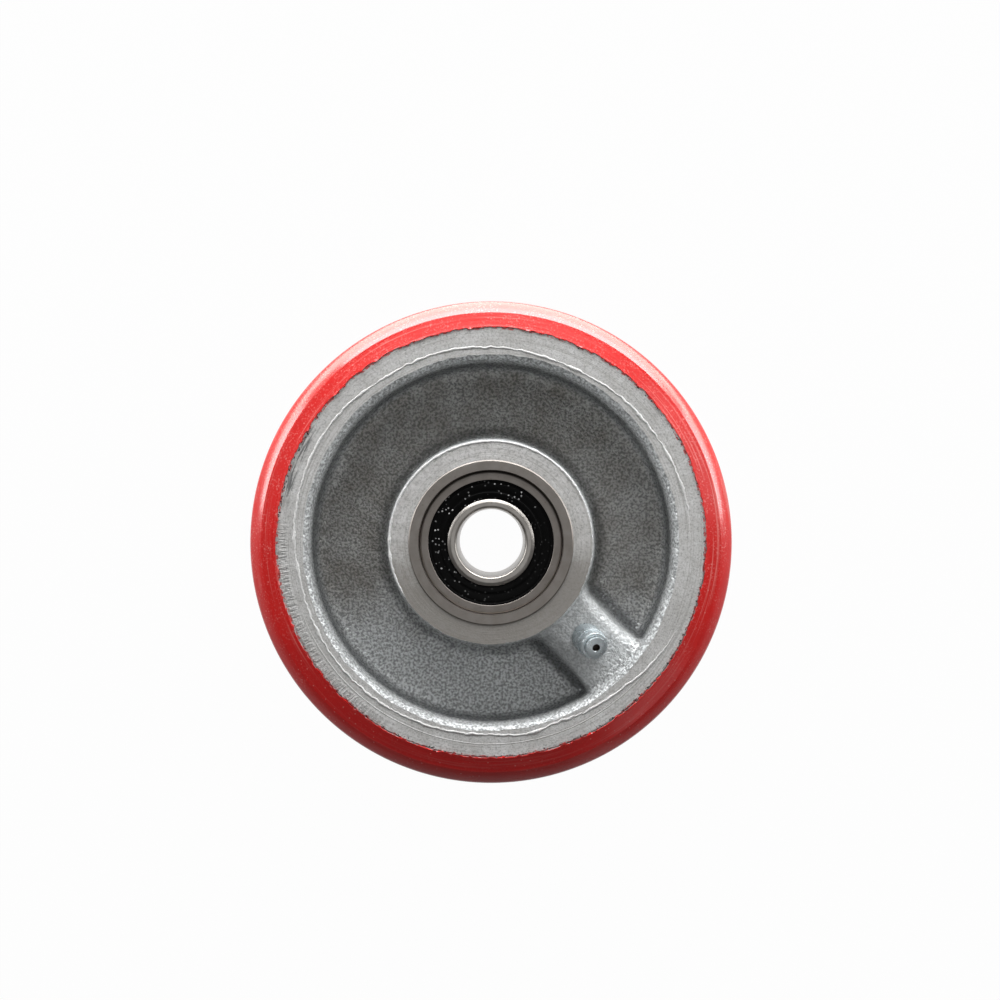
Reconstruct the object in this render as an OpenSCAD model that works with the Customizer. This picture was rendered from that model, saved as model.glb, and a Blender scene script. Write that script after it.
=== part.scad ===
// Polyurethane wheel on a cast iron core, with two sealed ball bearings and a grease nipple.
// The axle runs along Z, the origin is the middle of the wheel, and the nipple is on the +Z side.

/* [Tyre] */
// Outside diameter of the tread
tyre_d = 178; // [160:1:200]
// Width over the two turned sides
tyre_w = 50; // [50:1:60]
// Radial width of the steep shoulder next to the tread
shoulder_w = 4.9; // [4:0.1:6]
// Slope of the turned side, from the rim out to the shoulder
side_slope = 20; // [5:1:25]

/* [Core] */
// Outside diameter of the iron rim, under the tyre
rim_d = 157.2; // [150:0.1:158]
// Inside diameter of the rim at its faces
rim_inner_d = 138; // [130:1:142]
// Depth of the rim faces below the tyre sides
rim_inset = 0.3; // [0.1:0.1:1]
// Thickness of the web
web_t = 13; // [9:1:16]
// Diameter of the hub barrel at its end faces
hub_d = 74; // [70:1:78]
// Length of the hub over its end faces
hub_w = 60; // [58:1:66]
// Radius of the fillets between web, rim and hub
fillet_r = 4.5; // [3:0.5:6]
// Diameter of the bare turned ring around each bearing
boss_d = 59; // [56:1:62]
// Height of that ring above the hub's painted face
boss_h = 0.4; // [0.2:0.1:0.6]
// Slope of the cast walls
draft = 5; // [2:1:8]

/* [Grease rib and nipple] */
// Angle of the rib around the axle
rib_angle = -45; // [-180:5:180]
// Width of the flat on top of the rib
rib_flat_w = 14; // [10:1:18]
// Height of the rib's top above the wheel's middle, at the nipple
rib_top_z = 19.4; // [18:0.2:19.8]
// Rise of the rib's top towards the rim
rib_rise = 5; // [0:1:6]
// Distance of the nipple's collar from the axle
nipple_at = 50.3; // [47:0.1:52]
// Lean of the nipple away from the axle
nipple_lean = 22; // [18:1:26]
// Diameter of the nipple's collar
collar_d = 10.9; // [10.4:0.1:11.4]
// Diameter of the nipple's middle body
nipple_mid_d = 10.1; // [9.4:0.1:10.2]
// Diameter of the nipple's head
nipple_head_d = 7.8; // [7:0.1:8]
// Length of the nipple above the collar's seat
nipple_h = 9.7; // [9.5:0.1:10]

/* [Bearings] */
// Outside diameter
bearing_d = 52; // [52:1:52]
// Bore
bore_d = 25; // [25:1:25]
// Width
bearing_w = 15; // [15:1:15]
// Distance of each bearing below the turned ring around it
bearing_inset = 1; // [0.5:0.5:3]
// Ball diameter
ball_d = 7.938; // [7.938:0.001:7.938]
// Number of balls in a bearing
ball_count = 9; // [8:1:9]

/* [Hidden] */
SIDES = ["front", "rear"];
$fn = 96;

// Tyre
tyre_r = tyre_d / 2;
half_w = tyre_w / 2;
shoulder_from = 33; // normal's angle at the shoulder's outer end
shoulder_to = 53; // normal's angle where the shoulder meets the side
tread_edge_r = 3;

// Core
rim_r = rim_d / 2;
rim_inner_r = rim_inner_d / 2;
rim_z = half_w - rim_inset;
web_z = web_t / 2;
hub_r = hub_d / 2;
hub_z = hub_w / 2;
hub_face_z = hub_z - boss_h;
boss_r = boss_d / 2;
edge_r = 2.5; // cast rounding on the rim's inner edges
hub_chamfer = 0.6;
arc_steps = 8;

// Bearings
bearing_r = bearing_d / 2;
bore_r = bore_d / 2;
ball_r = ball_d / 2;
pitch_r = (bearing_r + bore_r) / 2 + 0.25;
bearing_outer_z = hub_z - bearing_inset;
bearing_inner_z = bearing_outer_z - bearing_w;
bearing_mid_z = (bearing_outer_z + bearing_inner_z) / 2;
half_b = bearing_w / 2;
ring_chamfer = 1;
seat_gap = 0.01; // radial, ring in its seat
race_gap = 0.04; // radial, ball to groove
groove_r = 4.13;
outer_shoulder_r = 21.9;
inner_shoulder_r = 17.2;
ring_bevel_w = 1.3; // bevel from the inner ring's face out to its land
ring_bevel_h = 0.7;
shoulder_step = 0.4; // rise of the inner ring from its shoulder to its land
seal_land_r = 15.8; // step on the inner ring, under the seal's lip
seal_lip_gap = 0.08;
seal_lip_drop = 0.3; // lip's top below the seal's face
seal_lip_w = 0.5;
seal_lip_slope_w = 0.4;
seal_lip_back_w = 0.8; // width of the lip's slope on its back
seal_rise = 0.15; // seal's face above its groove
seal_edge_w = 0.36; // slope at the seal's outside
seal_back_w = 0.3; // half width of the slope at its back
seal_fit = 0.04; // play of the seal's bead in its groove
seal_window_r = 22.75; // opening of the outer ring at its faces
seal_groove_r = 23.6;
seal_groove_z = 5.6; // start of the seal groove, from the bearing's middle
seal_groove_w = 1.3;
seal_t = 0.8;
cage_t = 0.8;
cage_gap = 0.14; // pocket to ball
cage_r0 = 17.9;
cage_r1 = 21.1;
rivet_r = 0.6;
rivet_head_r = 1.15;
rivet_head_h = 0.5;

// Hub inside
seat_r = bearing_r + seat_gap;
cavity_r = 23;
seat_chamfer = 0.3;
spacer_r = 15.4;

// Rib
rib_edge_r = 5;
rib_foot_r = 5;
rib_from = 31;
rib_to = 73;
rib_draft = 8;
rib_depth = rib_top_z + (rim_inner_r - nipple_at) * tan(rib_rise) - web_z + 0.3;

// Nipple, measured along its own axis from the collar's seat
shank_r = 3;
shank_len = 8;
shank_gap = 0.01;
collar_r = collar_d / 2;
collar_h = 4.6;
collar_sink = 3.2; // depth of the collar's spot face below the rib's top
spot_gap = 0.05;
spot_rise = 5; // height that the spot face's cutter clears on the rising side
mid_r = nipple_mid_d / 2;
mid_h = 8;
neck_r = 2.95;
neck_h = 8.5;
head_r = nipple_head_d / 2;
nipple_chamfer = 0.3;
nipple_hole_r = 1.4;
nipple_hole_len = 1.7;
valve_bore_r = 2.1;
valve_ball_r = 1.9;
valve_gap = 0.02;
valve_edge_at = nipple_h - nipple_hole_len;
valve_ball_at = valve_edge_at - sqrt(pow(valve_ball_r, 2) - pow(nipple_hole_r, 2)) - valve_gap;
spring_wire_r = 0.2;
spring_r = 1.6;
spring_turns = 6;
spring_foot_at = -1;
spring_top_at = valve_ball_at - sqrt(pow(valve_ball_r + spring_wire_r, 2) - pow(spring_r, 2)) - valve_gap;
outlet_r = 1.2;
passage_r = 1.75;

// Points of an arc in a profile, from angle a0 to angle a1
function arc(cx, cy, r, a0, a1, steps = arc_steps) =
    [for (i = [0:steps]) let (a = a0 + (a1 - a0) * i / steps) [cx + r * cos(a), cy + r * sin(a)]];

// A half profile's points and their mirror image below the middle plane
function both_ways(points) = concat(points, [for (i = [len(points) - 1:-1:0]) [points[i][0], -points[i][1]]]);

// Tyre: tread with rounded edges, steep shoulders, sloping turned sides, bonded to the rim
module tyre() {
    shoulder_run = shoulder_w - tread_edge_r * (1 - cos(shoulder_from));
    shoulder_r = shoulder_run / (cos(shoulder_from) - cos(shoulder_to));
    crease_r = tyre_r - shoulder_w;
    crease_z = half_w - (crease_r - rim_r) * tan(side_slope);
    shoulder_x = crease_r - shoulder_r * cos(shoulder_to);
    shoulder_y = crease_z - shoulder_r * sin(shoulder_to);
    edge_y = shoulder_y + (shoulder_r - tread_edge_r) * sin(shoulder_from);
    half_profile = concat(
        [[rim_r, half_w]],
        arc(shoulder_x, shoulder_y, shoulder_r, shoulder_to, shoulder_from),
        arc(tyre_r - tread_edge_r, edge_y, tread_edge_r, shoulder_from - shoulder_from / arc_steps, 0));
    color("crimson") rotate_extrude() polygon(both_ways(half_profile));
}

// Sideways run of a cast wall over a height
function wall_lean(dz) = dz * tan(draft);

// Half profile of the casting from the rim's outside inwards, upper side of the middle plane
function core_half_profile() =
    let (
        edge_y = rim_z - edge_r,
        wall_top = [rim_inner_r - edge_r * cos(draft), edge_y + edge_r * sin(draft)],
        foot_y = web_z + fillet_r,
        wall_foot_y = foot_y - fillet_r * sin(draft),
        rim_foot_x = wall_top[0] - wall_lean(wall_top[1] - wall_foot_y) - fillet_r * cos(draft),
        hub_foot_x = hub_r + wall_lean(hub_face_z - wall_foot_y) + fillet_r * cos(draft))
    concat(
        [[rim_r, rim_z]],
        arc(rim_inner_r, edge_y, edge_r, 90, 180 - draft),
        arc(rim_foot_x, foot_y, fillet_r, -draft, -90),
        arc(hub_foot_x, foot_y, fillet_r, -90, -180 + draft),
        [[hub_r + wall_lean(hub_chamfer), hub_face_z - hub_chamfer],
         [hub_r - hub_chamfer, hub_face_z],
         [boss_r + boss_h, hub_face_z],
         [boss_r, hub_z],
         [cavity_r - 1, hub_z]]);

module core_bores() {
    rotate_extrude() polygon(both_ways([
        [0, hub_z + 1],
        [seat_r + seat_chamfer, hub_z + 1],
        [seat_r + seat_chamfer, hub_z],
        [seat_r, hub_z - seat_chamfer],
        [seat_r, bearing_inner_z],
        [cavity_r, bearing_inner_z]]));
}

// Radial rib that carries the nipple and its grease passage
module grease_rib() {
    edge_x = rib_flat_w / 2;
    lean = 90 - rib_draft;
    side_top = [edge_x + rib_edge_r * sin(lean), -rib_edge_r * (1 - cos(lean))];
    foot_y = rib_foot_r * (1 - cos(lean)) - rib_depth;
    foot_x = side_top[0] + (side_top[1] - foot_y) * tan(rib_draft);
    half = concat(
        arc(edge_x, -rib_edge_r, rib_edge_r, 90, 90 - lean),
        arc(foot_x + rib_foot_r * sin(lean), rib_foot_r - rib_depth, rib_foot_r, 270 - lean, 270),
        [[foot_x + rib_foot_r * sin(lean), -rib_depth - web_z / 2]]);
    mirrored = [for (i = [len(half) - 1:-1:0]) [-half[i][0], half[i][1]]];
    rotate([0, 0, rib_angle])
        translate([nipple_at, 0, rib_top_z])
            rotate([0, -rib_rise, 0])
                translate([rib_from - nipple_at, 0, 0])
                    rotate([90, 0, 90])
                        linear_extrude(rib_to - rib_from)
                            polygon(concat(half, mirrored));
}

// Places things on the nipple's own axis, with zero at the rib's surface
module at_nipple() {
    rotate([0, 0, rib_angle])
        translate([nipple_at, 0, rib_top_z])
            rotate([0, nipple_lean, 0])
                children();
}

module nipple_holes() {
    passage_drop = rib_top_z / cos(nipple_lean);
    passage_r_at = nipple_at - rib_top_z * tan(nipple_lean);
    at_nipple() {
        translate([0, 0, -collar_sink]) cylinder(r = collar_r + spot_gap, h = collar_sink + spot_rise);
        translate([0, 0, -collar_sink - shank_len]) cylinder(r = shank_r + shank_gap, h = shank_len + 0.1);
        translate([0, 0, -passage_drop]) cylinder(r = passage_r, h = passage_drop);
    }
    rotate([0, 0, rib_angle])
        translate([cavity_r - 1, 0, 0])
            rotate([0, 90, 0])
                cylinder(r = passage_r, h = passage_r_at - cavity_r + 1 + passage_r);
}

// Core: rim, web, hub and rib in one casting
module wheel_core() {
    color("darkgray") difference() {
        union() {
            rotate_extrude() polygon(both_ways(core_half_profile()));
            grease_rib();
        }
        core_bores();
        nipple_holes();
    }
}

module spacer_tube() {
    color("lightsteelblue") rotate_extrude() polygon(both_ways([
        [bore_r, bearing_inner_z],
        [spacer_r, bearing_inner_z]]));
}

// Puts a bearing's piece, made around its own middle with +Z outwards, on the front or the rear side
module on_side(side) {
    if (side == "front") translate([0, 0, bearing_mid_z]) children();
    else mirror([0, 0, 1]) translate([0, 0, bearing_mid_z]) children();
}

module outer_ring() {
    groove_at = pitch_r + ball_r + race_gap - groove_r;
    color("silver") rotate_extrude() difference() {
        polygon(both_ways([
            [bearing_r, half_b - ring_chamfer],
            [bearing_r - ring_chamfer, half_b],
            [seal_window_r, half_b],
            [seal_window_r, seal_groove_z + seal_groove_w],
            [seal_groove_r, seal_groove_z + seal_groove_w],
            [seal_groove_r, seal_groove_z],
            [outer_shoulder_r, seal_groove_z]]));
        translate([groove_at, 0]) circle(groove_r);
    }
}

module inner_ring() {
    groove_at = pitch_r - ball_r - race_gap + groove_r;
    color("silver") rotate_extrude() difference() {
        polygon(both_ways([
            [bore_r, half_b - ring_chamfer],
            [bore_r + ring_chamfer, half_b],
            [seal_land_r - ring_bevel_w, half_b],
            [seal_land_r, half_b - ring_bevel_h],
            [seal_land_r, seal_groove_z],
            [inner_shoulder_r, seal_groove_z - shoulder_step]]));
        translate([groove_at, 0]) circle(groove_r);
    }
}

// Rubber covered steel washer, clipped into the outer ring, its lip close to the inner ring
module seal() {
    lip_r = seal_land_r + seal_lip_gap;
    bead_r = seal_groove_r - seal_fit;
    bead_foot = seal_groove_z + seal_fit;
    bead_top = seal_groove_z + seal_groove_w - seal_fit;
    edge_r = seal_window_r - seal_fit;
    face = bead_top + seal_rise;
    lip_top = face - seal_lip_drop;
    color("black") rotate_extrude() polygon([
        [bead_r, bead_foot],
        [bead_r, bead_top],
        [edge_r, bead_top],
        [edge_r - seal_edge_w, face],
        [lip_r + seal_lip_w + seal_lip_slope_w, face],
        [lip_r + seal_lip_w, lip_top],
        [lip_r, lip_top],
        [lip_r, lip_top - seal_t],
        [lip_r + seal_lip_w + seal_lip_back_w, face - seal_t],
        [outer_shoulder_r - seal_back_w, face - seal_t],
        [outer_shoulder_r + seal_back_w, bead_foot]]);
}

// Places children at each ball, or halfway between balls
module around_balls(offset_steps = 0) {
    for (i = [1:ball_count]) rotate([0, 0, (i + offset_steps) * 360 / ball_count])
        translate([pitch_r, 0, 0]) children();
}

module ball(i) {
    color("whitesmoke") rotate([0, 0, i * 360 / ball_count]) translate([pitch_r, 0, 0]) sphere(r = ball_r);
}

// One pressed half of the cage: flat between the balls and domed over them
module cage_half() {
    dome_r = ball_r + cage_gap + cage_t;
    color("goldenrod") difference() {
        intersection() {
            union() {
                cylinder(r = cage_r1 + 1, h = cage_t);
                around_balls() sphere(r = dome_r);
            }
            rotate_extrude() translate([cage_r0, 0]) square([cage_r1 - cage_r0, dome_r + 1]);
        }
        around_balls() sphere(r = ball_r + cage_gap);
        around_balls(0.5) translate([0, 0, -1]) cylinder(r = rivet_r + seat_gap, h = cage_t + 2);
    }
}

module cage_rivets() {
    color("gray") around_balls(0.5) {
        translate([0, 0, -cage_t]) cylinder(r = rivet_r, h = 2 * cage_t);
        for (way = [0, 1]) mirror([0, 0, way])
            translate([0, 0, cage_t]) cylinder(r = rivet_head_r, h = rivet_head_h);
    }
}

// Nipple: shank in the rib, collar, middle body, neck and head, bored for the check ball
module nipple_body() {
    base = -collar_sink;
    seat_drop = valve_bore_r - nipple_hole_r;
    color("lightblue") at_nipple() rotate_extrude() polygon([
        [outlet_r, base - shank_len],
        [shank_r - nipple_chamfer, base - shank_len],
        [shank_r, base - shank_len + nipple_chamfer],
        [shank_r, base],
        [collar_r, base],
        [collar_r, collar_h - nipple_chamfer],
        [collar_r - nipple_chamfer, collar_h],
        [mid_r, collar_h],
        [mid_r, mid_h - nipple_chamfer],
        [mid_r - nipple_chamfer, mid_h],
        [neck_r, mid_h],
        [neck_r, neck_h],
        [head_r, neck_h],
        [head_r, nipple_h - nipple_chamfer / 2],
        [head_r - nipple_chamfer / 2, nipple_h],
        [nipple_hole_r, nipple_h],
        [nipple_hole_r, valve_edge_at],
        [valve_bore_r, valve_edge_at - seat_drop],
        [valve_bore_r, spring_foot_at],
        [outlet_r, spring_foot_at]]);
}

module nipple_ball() {
    color("silver") at_nipple() translate([0, 0, valve_ball_at]) sphere(r = valve_ball_r);
}

// Coil spring that holds the check ball shut: a round wire swept along a helix
module nipple_spring() {
    sides = 8;
    steps_a_turn = 16;
    rings = spring_turns * steps_a_turn;
    bottom = spring_foot_at + spring_wire_r + valve_gap;
    rise = spring_top_at - bottom;
    points = [for (i = [0:rings]) let (turn = 360 * i / steps_a_turn)
        for (k = [0:sides - 1]) let (a = 360 * k / sides, r = spring_r + spring_wire_r * cos(a))
            [r * cos(turn), r * sin(turn),
             bottom + rise * i / rings + spring_wire_r * sin(a)]];
    walls = [for (i = [0:rings - 1]) for (k = [0:sides - 1]) let (n = (k + 1) % sides)
        [i * sides + k, i * sides + n, (i + 1) * sides + n, (i + 1) * sides + k]];
    ends = [[for (k = [sides - 1:-1:0]) k], [for (k = [0:sides - 1]) rings * sides + k]];
    color("gainsboro") at_nipple() polyhedron(points, concat(ends, walls));
}

tyre();
wheel_core();
spacer_tube();
nipple_body();
nipple_ball();
nipple_spring();
for (side = SIDES) {
    on_side(side) outer_ring();
    on_side(side) inner_ring();
    on_side(side) seal();
    on_side(side) mirror([0, 0, 1]) seal();
    on_side(side) cage_half();
    on_side(side) mirror([0, 0, 1]) cage_half();
    on_side(side) cage_rivets();
    for (i = [1:ball_count])
        on_side(side) ball(i);
}
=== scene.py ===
"""Looks of a cast iron castor wheel with a red polyurethane tyre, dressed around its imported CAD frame.

Sizes are in millimetres in the classes below and become metres where a mesh or a shader is made.
+Z is the wheel's axle, towards the side with the grease nipple, and zero is the middle of the bore.
"""

import logging
import math
from dataclasses import dataclass
from enum import Enum
from typing import Callable, Sequence

import bmesh
import bpy
from mathutils import Matrix, Vector, noise


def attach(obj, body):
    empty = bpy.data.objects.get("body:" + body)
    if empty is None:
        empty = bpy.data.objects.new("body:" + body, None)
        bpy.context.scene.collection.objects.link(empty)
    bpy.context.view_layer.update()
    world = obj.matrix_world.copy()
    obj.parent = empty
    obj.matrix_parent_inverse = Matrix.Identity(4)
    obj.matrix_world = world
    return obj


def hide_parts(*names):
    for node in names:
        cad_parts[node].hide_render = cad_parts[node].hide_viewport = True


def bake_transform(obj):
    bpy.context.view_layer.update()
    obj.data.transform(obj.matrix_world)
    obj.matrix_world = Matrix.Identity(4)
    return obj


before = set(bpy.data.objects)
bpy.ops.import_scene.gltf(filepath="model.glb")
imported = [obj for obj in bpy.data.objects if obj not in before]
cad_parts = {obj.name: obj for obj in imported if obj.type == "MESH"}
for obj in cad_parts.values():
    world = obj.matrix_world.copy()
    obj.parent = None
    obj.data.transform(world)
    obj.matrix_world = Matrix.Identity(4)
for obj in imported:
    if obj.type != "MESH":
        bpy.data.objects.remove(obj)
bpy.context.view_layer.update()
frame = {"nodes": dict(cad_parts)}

MM = 0.001
FULL_TURN = math.tau
LOG = logging.getLogger("wheel")

Point = tuple[float, float]
Place = tuple[float, float, float]
Color = tuple[float, float, float]
Socket = bpy.types.NodeSocket
Sockets = dict[str, Socket]


class Side(Enum):
    """The wheel's two sides: the value is the way along the axle."""

    FRONT = 1
    REAR = -1

    @property
    def word(self) -> str:
        """The side's name as the frame's nodes spell it."""
        return self.name.lower()


class Body(Enum):
    """Bodies of the frame that pieces ride on."""

    AXLE = "axle_side"
    WHEEL = "wheel"
    VALVE = "nipple_valve"


class Zone(Enum):
    """Zones of the casting: the value is the material slot."""

    CAST = 0
    RIM_FACE = 1
    HUB_FACE = 2
    BARE = 3
    GREASED = 4


class Pen:
    """Draws a half section point by point, as radius and height in millimetres."""

    def __init__(self, radius: float, height: float) -> None:
        """Puts the pen down.

        Args:
            radius: Distance of the first point from the axle.
            height: Height of the first point.
        """
        self.points: list[Point] = [(radius, height)]

    def to(self, radius: float, height: float) -> "Pen":
        """Draws a straight line.

        Args:
            radius: Distance of the line's end from the axle.
            height: Height of the line's end.

        Returns:
            The pen, for the next stroke.
        """
        self.points.append((radius, height))
        return self

    def arc(self, centre: Point, radius: float, start: float, end: float, steps: int = 6) -> "Pen":
        """Draws an arc, joined to the last point by a straight line.

        Args:
            centre: Middle of the arc, as radius and height.
            radius: The arc's own radius.
            start: Angle of its first point in degrees, counted from outwards towards up.
            end: Angle of its last point.
            steps: Number of chords.

        Returns:
            The pen, for the next stroke.
        """
        for step in range(steps + 1):
            angle = math.radians(start + (end - start) * step / steps)
            self.to(centre[0] + radius * math.cos(angle), centre[1] + radius * math.sin(angle))
        return self

    def mirrored(self) -> list[Point]:
        """The points and their mirror image below the middle plane, as one closed outline."""
        return self.points + [(radius, -height) for radius, height in reversed(self.points)]

    def doubled(self) -> "Pen":
        """Adds the mirror image to the points, which closes the outline."""
        self.points = self.mirrored()
        return self

    def placed(self, side: Side, middle: float) -> list[Point]:
        """Moves a section drawn around its own middle to one side of the wheel.

        Args:
            side: The side it goes to.
            middle: Height of its middle above the wheel's middle.

        Returns:
            The section's points in the wheel's frame.
        """
        return [(radius, side.value * (middle + height)) for radius, height in self.points]


def select_only(piece: bpy.types.Object) -> None:
    """Makes one object the active and only selected one.

    Args:
        piece: The object to work on.
    """
    bpy.ops.object.select_all(action="DESELECT")
    piece.select_set(True)
    bpy.context.view_layer.objects.active = piece


def draw_wire(name: str, points: Sequence[Vector]) -> bpy.types.Object:
    """Draws an open wire by extruding one vertex from point to point.

    Args:
        name: Name of the new object.
        points: The wire's corners in metres.

    Returns:
        The wire, left in edit mode with its last vertex selected.
    """
    bpy.ops.object.select_all(action="DESELECT")
    bpy.ops.mesh.primitive_plane_add(size=MM, location=points[0])
    wire = bpy.context.object
    wire.name = name
    wire.data.name = name
    bpy.ops.object.transform_apply(location=True, rotation=True, scale=True)
    bpy.ops.object.mode_set(mode="EDIT")
    bpy.ops.mesh.select_all(action="SELECT")
    bpy.ops.mesh.merge(type="CENTER")
    for start, end in zip(points, points[1:]):
        bpy.ops.mesh.extrude_region_move(TRANSFORM_OT_translate={"value": end - start})
    return wire


def round_wire(wire: bpy.types.Object, radius: float, widths: Sequence[float] = ()) -> None:
    """Turns the wire in edit mode into a closed round rod.

    Args:
        wire: The wire.
        radius: The rod's radius in millimetres.
        widths: Share of that radius at each of the wire's points, or nothing for 1.
    """
    bpy.ops.object.mode_set(mode="OBJECT")
    bpy.ops.object.convert(target="CURVE")
    for point, width in zip(wire.data.splines[0].points, widths):
        point.radius = width
    wire.data.bevel_depth = radius * MM
    wire.data.bevel_resolution = 2
    wire.data.use_fill_caps = True
    bpy.ops.object.convert(target="MESH")


def finish_mesh(merge: float = 0.0) -> None:
    """Turns the faces of the mesh in edit mode outwards and goes back to object mode.

    Args:
        merge: Distance in metres below which points become one, or 0 to leave them.
    """
    bpy.ops.mesh.select_all(action="SELECT")
    if merge > 0:
        bpy.ops.mesh.remove_doubles(threshold=merge)
    bpy.ops.mesh.normals_make_consistent(inside=False)
    bpy.ops.object.mode_set(mode="OBJECT")


def close_wire() -> None:
    """Joins the two loose ends of the wire in edit mode by an edge."""
    mesh = bmesh.from_edit_mesh(bpy.context.object.data)
    for vertex in mesh.verts:
        vertex.select_set(len(vertex.link_edges) == 1)
    mesh.select_flush_mode()
    bpy.ops.mesh.edge_face_add()


def lathe(name: str, outline: Sequence[Point], steps: int, crease: float = 35.0) -> bpy.types.Object:
    """Turns a closed half section around the axle.

    Args:
        name: Name of the new object.
        outline: Radius and height of each corner, in millimetres.
        steps: Number of facets around.
        crease: Angle in degrees above which an edge stays sharp.

    Returns:
        The finished body of revolution.
    """
    piece = draw_wire(name, [Vector((radius * MM, 0, height * MM)) for radius, height in outline])
    if outline[0][0] > 0 or outline[-1][0] > 0:
        close_wire()
    bpy.ops.mesh.select_all(action="SELECT")
    bpy.ops.mesh.spin(steps=steps, angle=FULL_TURN, center=(0, 0, 0), axis=(0, 0, 1))
    finish_mesh(merge=MM / 500)
    bpy.ops.object.shade_smooth_by_angle(angle=math.radians(crease))
    return piece


def join_to(piece: bpy.types.Object, others: Sequence[bpy.types.Object]) -> None:
    """Joins other objects to a piece.

    Args:
        piece: The object that stays.
        others: The objects that become part of it.
    """
    select_only(piece)
    for other in others:
        other.select_set(True)
    bpy.ops.object.join()


def settle(piece: bpy.types.Object, placing: Matrix) -> None:
    """Moves a mesh to its place and leaves its object at the origin.

    Args:
        piece: The object.
        placing: Where its mesh goes, in metres.
    """
    select_only(piece)
    piece.matrix_world = placing
    bpy.context.view_layer.update()
    bpy.ops.object.transform_apply(location=True, rotation=True, scale=True)


def apply_modifier(piece: bpy.types.Object, kind: str, **settings: object) -> None:
    """Adds a modifier, sets it up and applies it.

    Args:
        piece: The object.
        kind: The modifier's type.
        **settings: Its values by name.
    """
    select_only(piece)
    bpy.ops.object.modifier_add(type=kind)
    modifier = piece.modifiers[-1]
    for key, value in settings.items():
        setattr(modifier, key, value)
    bpy.ops.object.modifier_apply(modifier=modifier.name)


def cut(piece: bpy.types.Object, tool: bpy.types.Object, operation: str) -> None:
    """Cuts a piece by another solid, which is used up.

    Args:
        piece: The solid that stays.
        tool: The cutter.
        operation: INTERSECT or DIFFERENCE.
    """
    apply_modifier(piece, "BOOLEAN", operation=operation, solver="MANIFOLD", object=tool)
    bpy.data.objects.remove(tool)


def clouds(name: str, size: float, depth: int = 1) -> bpy.types.Texture:
    """Makes the noise that a Displace modifier reads.

    Args:
        name: Name of the texture.
        size: Size of its lumps in millimetres.
        depth: Levels of finer lumps inside.

    Returns:
        The texture.
    """
    texture = bpy.data.textures.new(name, "CLOUDS")
    texture.noise_scale = size * MM
    texture.noise_depth = depth
    return texture


def mark_zone(piece: bpy.types.Object, index: int, belongs: Callable[[Vector, Vector], bool]) -> None:
    """Gives the faces of a zone their material slot and a sharp outline.

    Args:
        piece: The object, with its material slots in place.
        index: The slot for the zone.
        belongs: Says whether a face is in the zone, from its middle in millimetres and its normal.
    """
    select_only(piece)
    bpy.ops.object.mode_set(mode="EDIT")
    bpy.ops.mesh.select_mode(type="FACE")
    bpy.ops.mesh.select_all(action="DESELECT")
    mesh = bmesh.from_edit_mesh(piece.data)
    for face in mesh.faces:
        if belongs(face.calc_center_median() / MM, face.normal):
            face.select_set(True)
    bmesh.update_edit_mesh(piece.data)
    piece.active_material_index = index
    bpy.ops.object.material_slot_assign()
    bpy.ops.mesh.region_to_loop()
    bpy.ops.mesh.mark_sharp()
    bpy.ops.mesh.select_mode(type="VERT")
    bpy.ops.object.mode_set(mode="OBJECT")


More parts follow.
